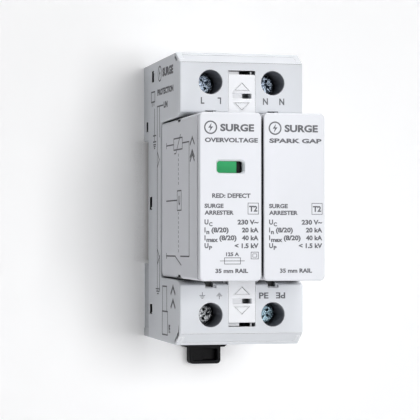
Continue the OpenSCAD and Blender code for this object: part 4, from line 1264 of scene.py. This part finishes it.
def module_side_print():
    """Circuit symbol on the line module's flank: thermal cut-out, varistor and changeover contact. u is the distance in front of the seat."""
    m = Marks("left", MXL - 8.43)
    w = 0.36
    m.rect(30.9, 40.9, 13.55, 16.7, w)
    m.line(22.1, 15.15, 30.9, 15.15, w).line(40.9, 15.15, 48.6, 15.15, w).line(22.1, 14.5, 22.1, 15.8, w)
    m.line(33.4, 12.55, 38.9, 17.6, w * 0.9).line(31.6, 12.55, 33.4, 12.55, w * 0.9)
    z = 12.2
    while z > 3.2:
        m.line(36.5, z, 36.5, z - 0.42, w)
        z -= 1.3
    m.rect(35.0, 39.7, -3.3, 2.1, w * 0.9)
    m.text("U", 36.45, 38.3, -1.9, 0.7)
    m.line(22.1, -0.5, 35.0, -0.5, w)
    z = -3.9
    while z > -15.2:
        m.line(36.5, z, 36.5, z - 0.42, w)
        z -= 1.3
    m.line(22.1, -16.0, 32.4, -16.0, w).line(22.1, -15.35, 22.1, -16.65, w).line(32.4, -16.0, 39.5, -18.4, w).line(38.7, -16.0, 48.6, -16.0, w)
    m.line(48.6, 15.15, 48.6, -16.0, w)
    for z0 in (14.4, 10.9):
        m.poly([(49.9, z0), (52.1, z0 + 1.75), (54.3, z0)], 0.6)
        if z0 < 12:
            m.poly([(49.9, z0 - 1.0), (52.1, z0 + 0.75), (54.3, z0 - 1.0)], 0.6)
    return m.mesh()


piece("line_module_side_print", module_side_print(), "ink_side", "line_module", smooth=False)


def cover_side_print():
    """Circuit symbol on the left cover, with terminals, signal contact and the plug contacts."""
    m = Marks("left", -HW)
    w = 0.4
    bm_z = 36.3
    m.ring(15.2, bm_z, 2.1, 0.42)
    m.shape([(15.5, bm_z + 1.5), (14.35, bm_z - 0.15), (15.1, bm_z - 0.15), (14.75, bm_z - 1.5), (16.05, bm_z + 0.3), (15.3, bm_z + 0.3)])
    m.text("SURGE", 18.6, 31.6, 35.1, 37.6, bold=0.062)
    m.text("PROTECTION", 12.2, 31.8, 30.1, 31.9, bold=0.055)
    # contact block
    m.rect(4.4, 9.0, 28.7, 31.6, w).line(5.6, 27.6, 5.6, 28.7, w).line(7.8, 27.6, 7.8, 28.7, w)
    for u in (8.65, 12.05, 14.9):
        m.line(u, 26.5 if u != 12.05 else 27.0, u, -26.0 if u == 12.05 else (18.2 if u == 14.9 else 17.3), w)
    m.line(12.05, 27.0, 19.5, 27.0, w).text("L/N", 20.2, 24.8, 26.1, 27.9, bold=0.055)
    m.line(14.9, -16.0, 14.9, -26.0, w)
    for zz in (17.0, 18.8):
        m.line(6.9, zz, 10.4, zz, w)
    for k in range(3):
        m.line(8.65 - 1.4 + 0.45 * k, 16.2 - 0.55 * k, 8.65 + 1.4 - 0.45 * k, 16.2 - 0.55 * k, w)
    m.poly([(12.05, 14.0), (14.6, 11.6), (12.05, 9.4)], w)
    m.poly([(12.05, -14.0), (14.6, -16.4), (12.05, -18.6)], w)
    m.line(10.2, -25.5, 15.2, -25.5, 0.3).line(11.0, -26.2, 14.4, -26.2, 0.3).line(11.8, -26.9, 13.6, -26.9, 0.3)
    m.line(18.6, -24.6, 18.6, -31.7, w).line(23.8, -24.6, 23.8, -31.7, w).line(18.6, -24.6, 23.8, -24.6, w)
    m.rect(18.3, 24.8, -38.3, -31.7, w)
    m.text("PE", 26.1, 27.9, -37.6, -35.3)
    for z0 in (-26.4, -30.2):
        m.poly([(29.0, z0), (31.35, z0 + 1.9), (33.7, z0)], 0.85)
    return m.mesh()


piece("circuit_diagram_print", cover_side_print(), "ink_side", "base", smooth=False)

for _name, _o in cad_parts.items():
    if not _o.hide_render:
        dress_cad(_name, bevel=0.0 if "spring" in _name else 0.12)

# ---------------------------------------------------------------- stage, light, camera

SCENE.view_settings.view_transform = "Standard"
SCENE.view_settings.look = "None"

# One swept sheet of studio paper: a pale floor in front that curves up to a wall at the housing's back.
# Seen from behind, and by shadow rays, the sheet is clear, so that the back of the object can be lit and seen.
WALL_Y, FLOOR_Z, SWEEP_R = 0.0058, -0.135, 0.07
_prof = [(-1.6, FLOOR_Z), (-0.8, FLOOR_Z), (-0.3, FLOOR_Z)]
for _i in range(0, 17):
    _t = math.radians(90 * _i / 16)
    _prof.append((WALL_Y - SWEEP_R + SWEEP_R * math.sin(_t), FLOOR_Z + SWEEP_R * (1 - math.cos(_t))))
_prof += [(WALL_Y, 0.1), (WALL_Y, 0.5), (WALL_Y, 1.6)]
_b = bmesh.new()
_rows = [[_b.verts.new((x, y, z)) for (y, z) in _prof] for x in (-1.8, -0.6, 0.6, 1.8)]
for _r in range(3):
    for _i in range(len(_prof) - 1):
        _b.faces.new((_rows[_r][_i], _rows[_r + 1][_i], _rows[_r + 1][_i + 1], _rows[_r][_i + 1]))
floor = bpy.data.meshes.new("floor")
_b.to_mesh(floor)
_b.free()
floor.polygons.foreach_set("use_smooth", [True] * len(floor.polygons))
floor_o = bpy.data.objects.new("floor", floor)
COL.objects.link(floor_o)
fm, fnt, fb = _mat("studio_paper")
_fn = _n(fnt, "ShaderNodeTexNoise", Scale=0.4, Detail=5.0, Roughness=0.6)
fnt.links.new(_coords(fnt), _fn.inputs["Vector"])
_pc = _ramp(fnt, _fn.outputs[0], [(0.3, (0.925, 0.925, 0.93)), (0.7, (0.94, 0.94, 0.945))])
# painted shadow: the paper inside the rail channel is darkened toward a dark grey by ambient occlusion, within a
# box-shaped mask
_ao = _n(fnt, "ShaderNodeAmbientOcclusion", samples=8, Distance=0.014)
_sx = fnt.nodes.new("ShaderNodeSeparateXYZ")
fnt.links.new(_coords(fnt), _sx.inputs[0])
_m = _ramp(fnt, _ao.outputs["AO"], [(0.30, (1, 1, 1)), (0.70, (0, 0, 0))])
for _ax, _v0, _v1 in (("X", 20.5, 24.0), ("Z", 17.4, 19.0)):
    # only inside the rail channel
    _ab = _n(fnt, "ShaderNodeMath", operation="ABSOLUTE")
    fnt.links.new(_sx.outputs[_ax], _ab.inputs[0])
    _mr = fnt.nodes.new("ShaderNodeMapRange")
    for _k, _v in (("From Min", _v0), ("From Max", _v1), ("To Min", 1.0), ("To Max", 0.0)):
        _mr.inputs[_k].default_value = _v
    fnt.links.new(_ab.outputs[0], _mr.inputs["Value"])
    _mu = _n(fnt, "ShaderNodeMath", operation="MULTIPLY")
    fnt.links.new(_m, _mu.inputs[0])
    fnt.links.new(_mr.outputs[0], _mu.inputs[1])
    _m = _mu.outputs[0]
# painted shadow: the paper straight behind the housing is darkened further, fading out towards |X| 18.3 and |Z| 18
_painted_channel_shadow = None
for _ax, _v0, _v1 in (("X", 16.6, 18.3), ("Z", 17.2, 18.0)):
    _ab = _n(fnt, "ShaderNodeMath", operation="ABSOLUTE")
    fnt.links.new(_sx.outputs[_ax], _ab.inputs[0])
    _mr = fnt.nodes.new("ShaderNodeMapRange")
    for _k, _v in (("From Min", _v0), ("From Max", _v1), ("To Min", 1.0), ("To Max", 0.0)):
        _mr.inputs[_k].default_value = _v
    fnt.links.new(_ab.outputs[0], _mr.inputs["Value"])
    _mu = _n(fnt, "ShaderNodeMath", operation="MULTIPLY")
    fnt.links.new(_mr.outputs[0], _mu.inputs[0])
    if _painted_channel_shadow is None:
        _mu.inputs[1].default_value = 1.0
    else:
        fnt.links.new(_painted_channel_shadow, _mu.inputs[1])
    _painted_channel_shadow = _mu.outputs[0]
_mu = _n(fnt, "ShaderNodeMath", operation="MAXIMUM")
fnt.links.new(_m, _mu.inputs[0])
fnt.links.new(_painted_channel_shadow, _mu.inputs[1])
_m = _mu.outputs[0]
fnt.links.new(_mix(fnt, _m, _pc, (0.10, 0.085, 0.095)), fb.inputs["Base Color"])
fb.inputs["Roughness"].default_value = 0.95
fb.inputs["Specular IOR Level"].default_value = 0.1
_tr = fnt.nodes.new("ShaderNodeBsdfTransparent")
_ge = fnt.nodes.new("ShaderNodeNewGeometry")
_lp = fnt.nodes.new("ShaderNodeLightPath")
_mx = fnt.nodes.new("ShaderNodeMath")
_mx.operation = "MAXIMUM"
fnt.links.new(_ge.outputs["Backfacing"], _mx.inputs[0])
fnt.links.new(_lp.outputs["Is Shadow Ray"], _mx.inputs[1])
_ms = fnt.nodes.new("ShaderNodeMixShader")
fnt.links.new(_mx.outputs[0], _ms.inputs[0])
fnt.links.new(fb.outputs[0], _ms.inputs[1])
_em = fnt.nodes.new("ShaderNodeMath")
_em.operation = "MULTIPLY"
_em.inputs[1].default_value = 0.17
fnt.links.new(_lp.outputs["Is Camera Ray"], _em.inputs[0])
fnt.links.new(_em.outputs[0], fb.inputs["Emission Strength"])
fb.inputs["Emission Color"].default_value = (1, 1, 1, 1)
fnt.links.new(_tr.outputs[0], _ms.inputs[2])
fnt.links.new(_ms.outputs[0], fnt.nodes["Material Output"].inputs[0])
floor.materials.append(fm)


def area(name, loc, target, size, power, color=(1, 1, 1), spread=180):
    l = bpy.data.lights.new(name, "AREA")
    l.shape = "RECTANGLE"
    l.size, l.size_y = size
    l.energy = power
    l.color = color
    l.spread = math.radians(spread)
    o = bpy.data.objects.new(name, l)
    COL.objects.link(o)
    o.location = loc
    o.rotation_mode = "QUATERNION"
    o.rotation_quaternion = (Vector(target) - Vector(loc)).to_track_quat("-Z", "Y")
    return o


area("key", (0.40, -1.74, 0.16), (0, -0.03, 0), (0.80, 0.80), 20.2)
_back = area("back", (0.56, 1.5, 0.3), (0, 0, 0), (0.8, 0.8), 11.0)
# Softboxes above, below and behind that light the object but leave the paper alone
_top = area("top", (0.22, -0.34, 1.12), (0, -0.03, 0), (0.5, 0.4), 11.2)
_not_floor = bpy.data.collections.new("paper_only")
_not_floor.objects.link(floor_o)
_not_floor.collection_objects[0].light_linking.link_state = "EXCLUDE"
_low = area("low", (-0.12, -0.62, -1.02), (0, -0.03, 0), (0.6, 0.4), 5.4)
_fill = area("fill", (-1.05, -0.22, 0.22), (0, -0.02, 0), (0.4, 0.6), 1.4)
for _l in (_top, _low, _fill, _back):
    _l.light_linking.receiver_collection = _not_floor

world = bpy.data.worlds.new("world")
SCENE.world = world
world.use_nodes = True
_wb = world.node_tree.nodes["Background"]
_wb.inputs[0].default_value = (0.97, 0.98, 1.0, 1)
# a dim surround for the light, a pale one for the eye where the sheet of paper ends
_wl = world.node_tree.nodes.new("ShaderNodeLightPath")
_wm = world.node_tree.nodes.new("ShaderNodeMapRange")
_wm.inputs["To Min"].default_value, _wm.inputs["To Max"].default_value = 0.08, 0.80
world.node_tree.links.new(_wl.outputs["Is Camera Ray"], _wm.inputs["Value"])
world.node_tree.links.new(_wm.outputs[0], _wb.inputs[1])

cam = bpy.data.cameras.new("camera")
cam_o = bpy.data.objects.new("camera", cam)
COL.objects.link(cam_o)
cam.sensor_width = 36.0
cam.lens = 2008.92 / 420 * 36.0
R = Vector((0.967768, -0.251844, -0.000599))
U = Vector((-0.003659, -0.016439, 0.999858))
F = Vector((0.251818, 0.967628, 0.016831))
rot = Matrix((R, U, -F)).transposed()
cam_o.matrix_world = Matrix.Translation(Vector((-148.893, -576.504, -12.569)) * MM) @ rot.to_4x4()
cam.clip_start, cam.clip_end = 0.01, 20
SCENE.camera = cam_o

for _p in OPEN:
    print("NOT CLOSED", _p)
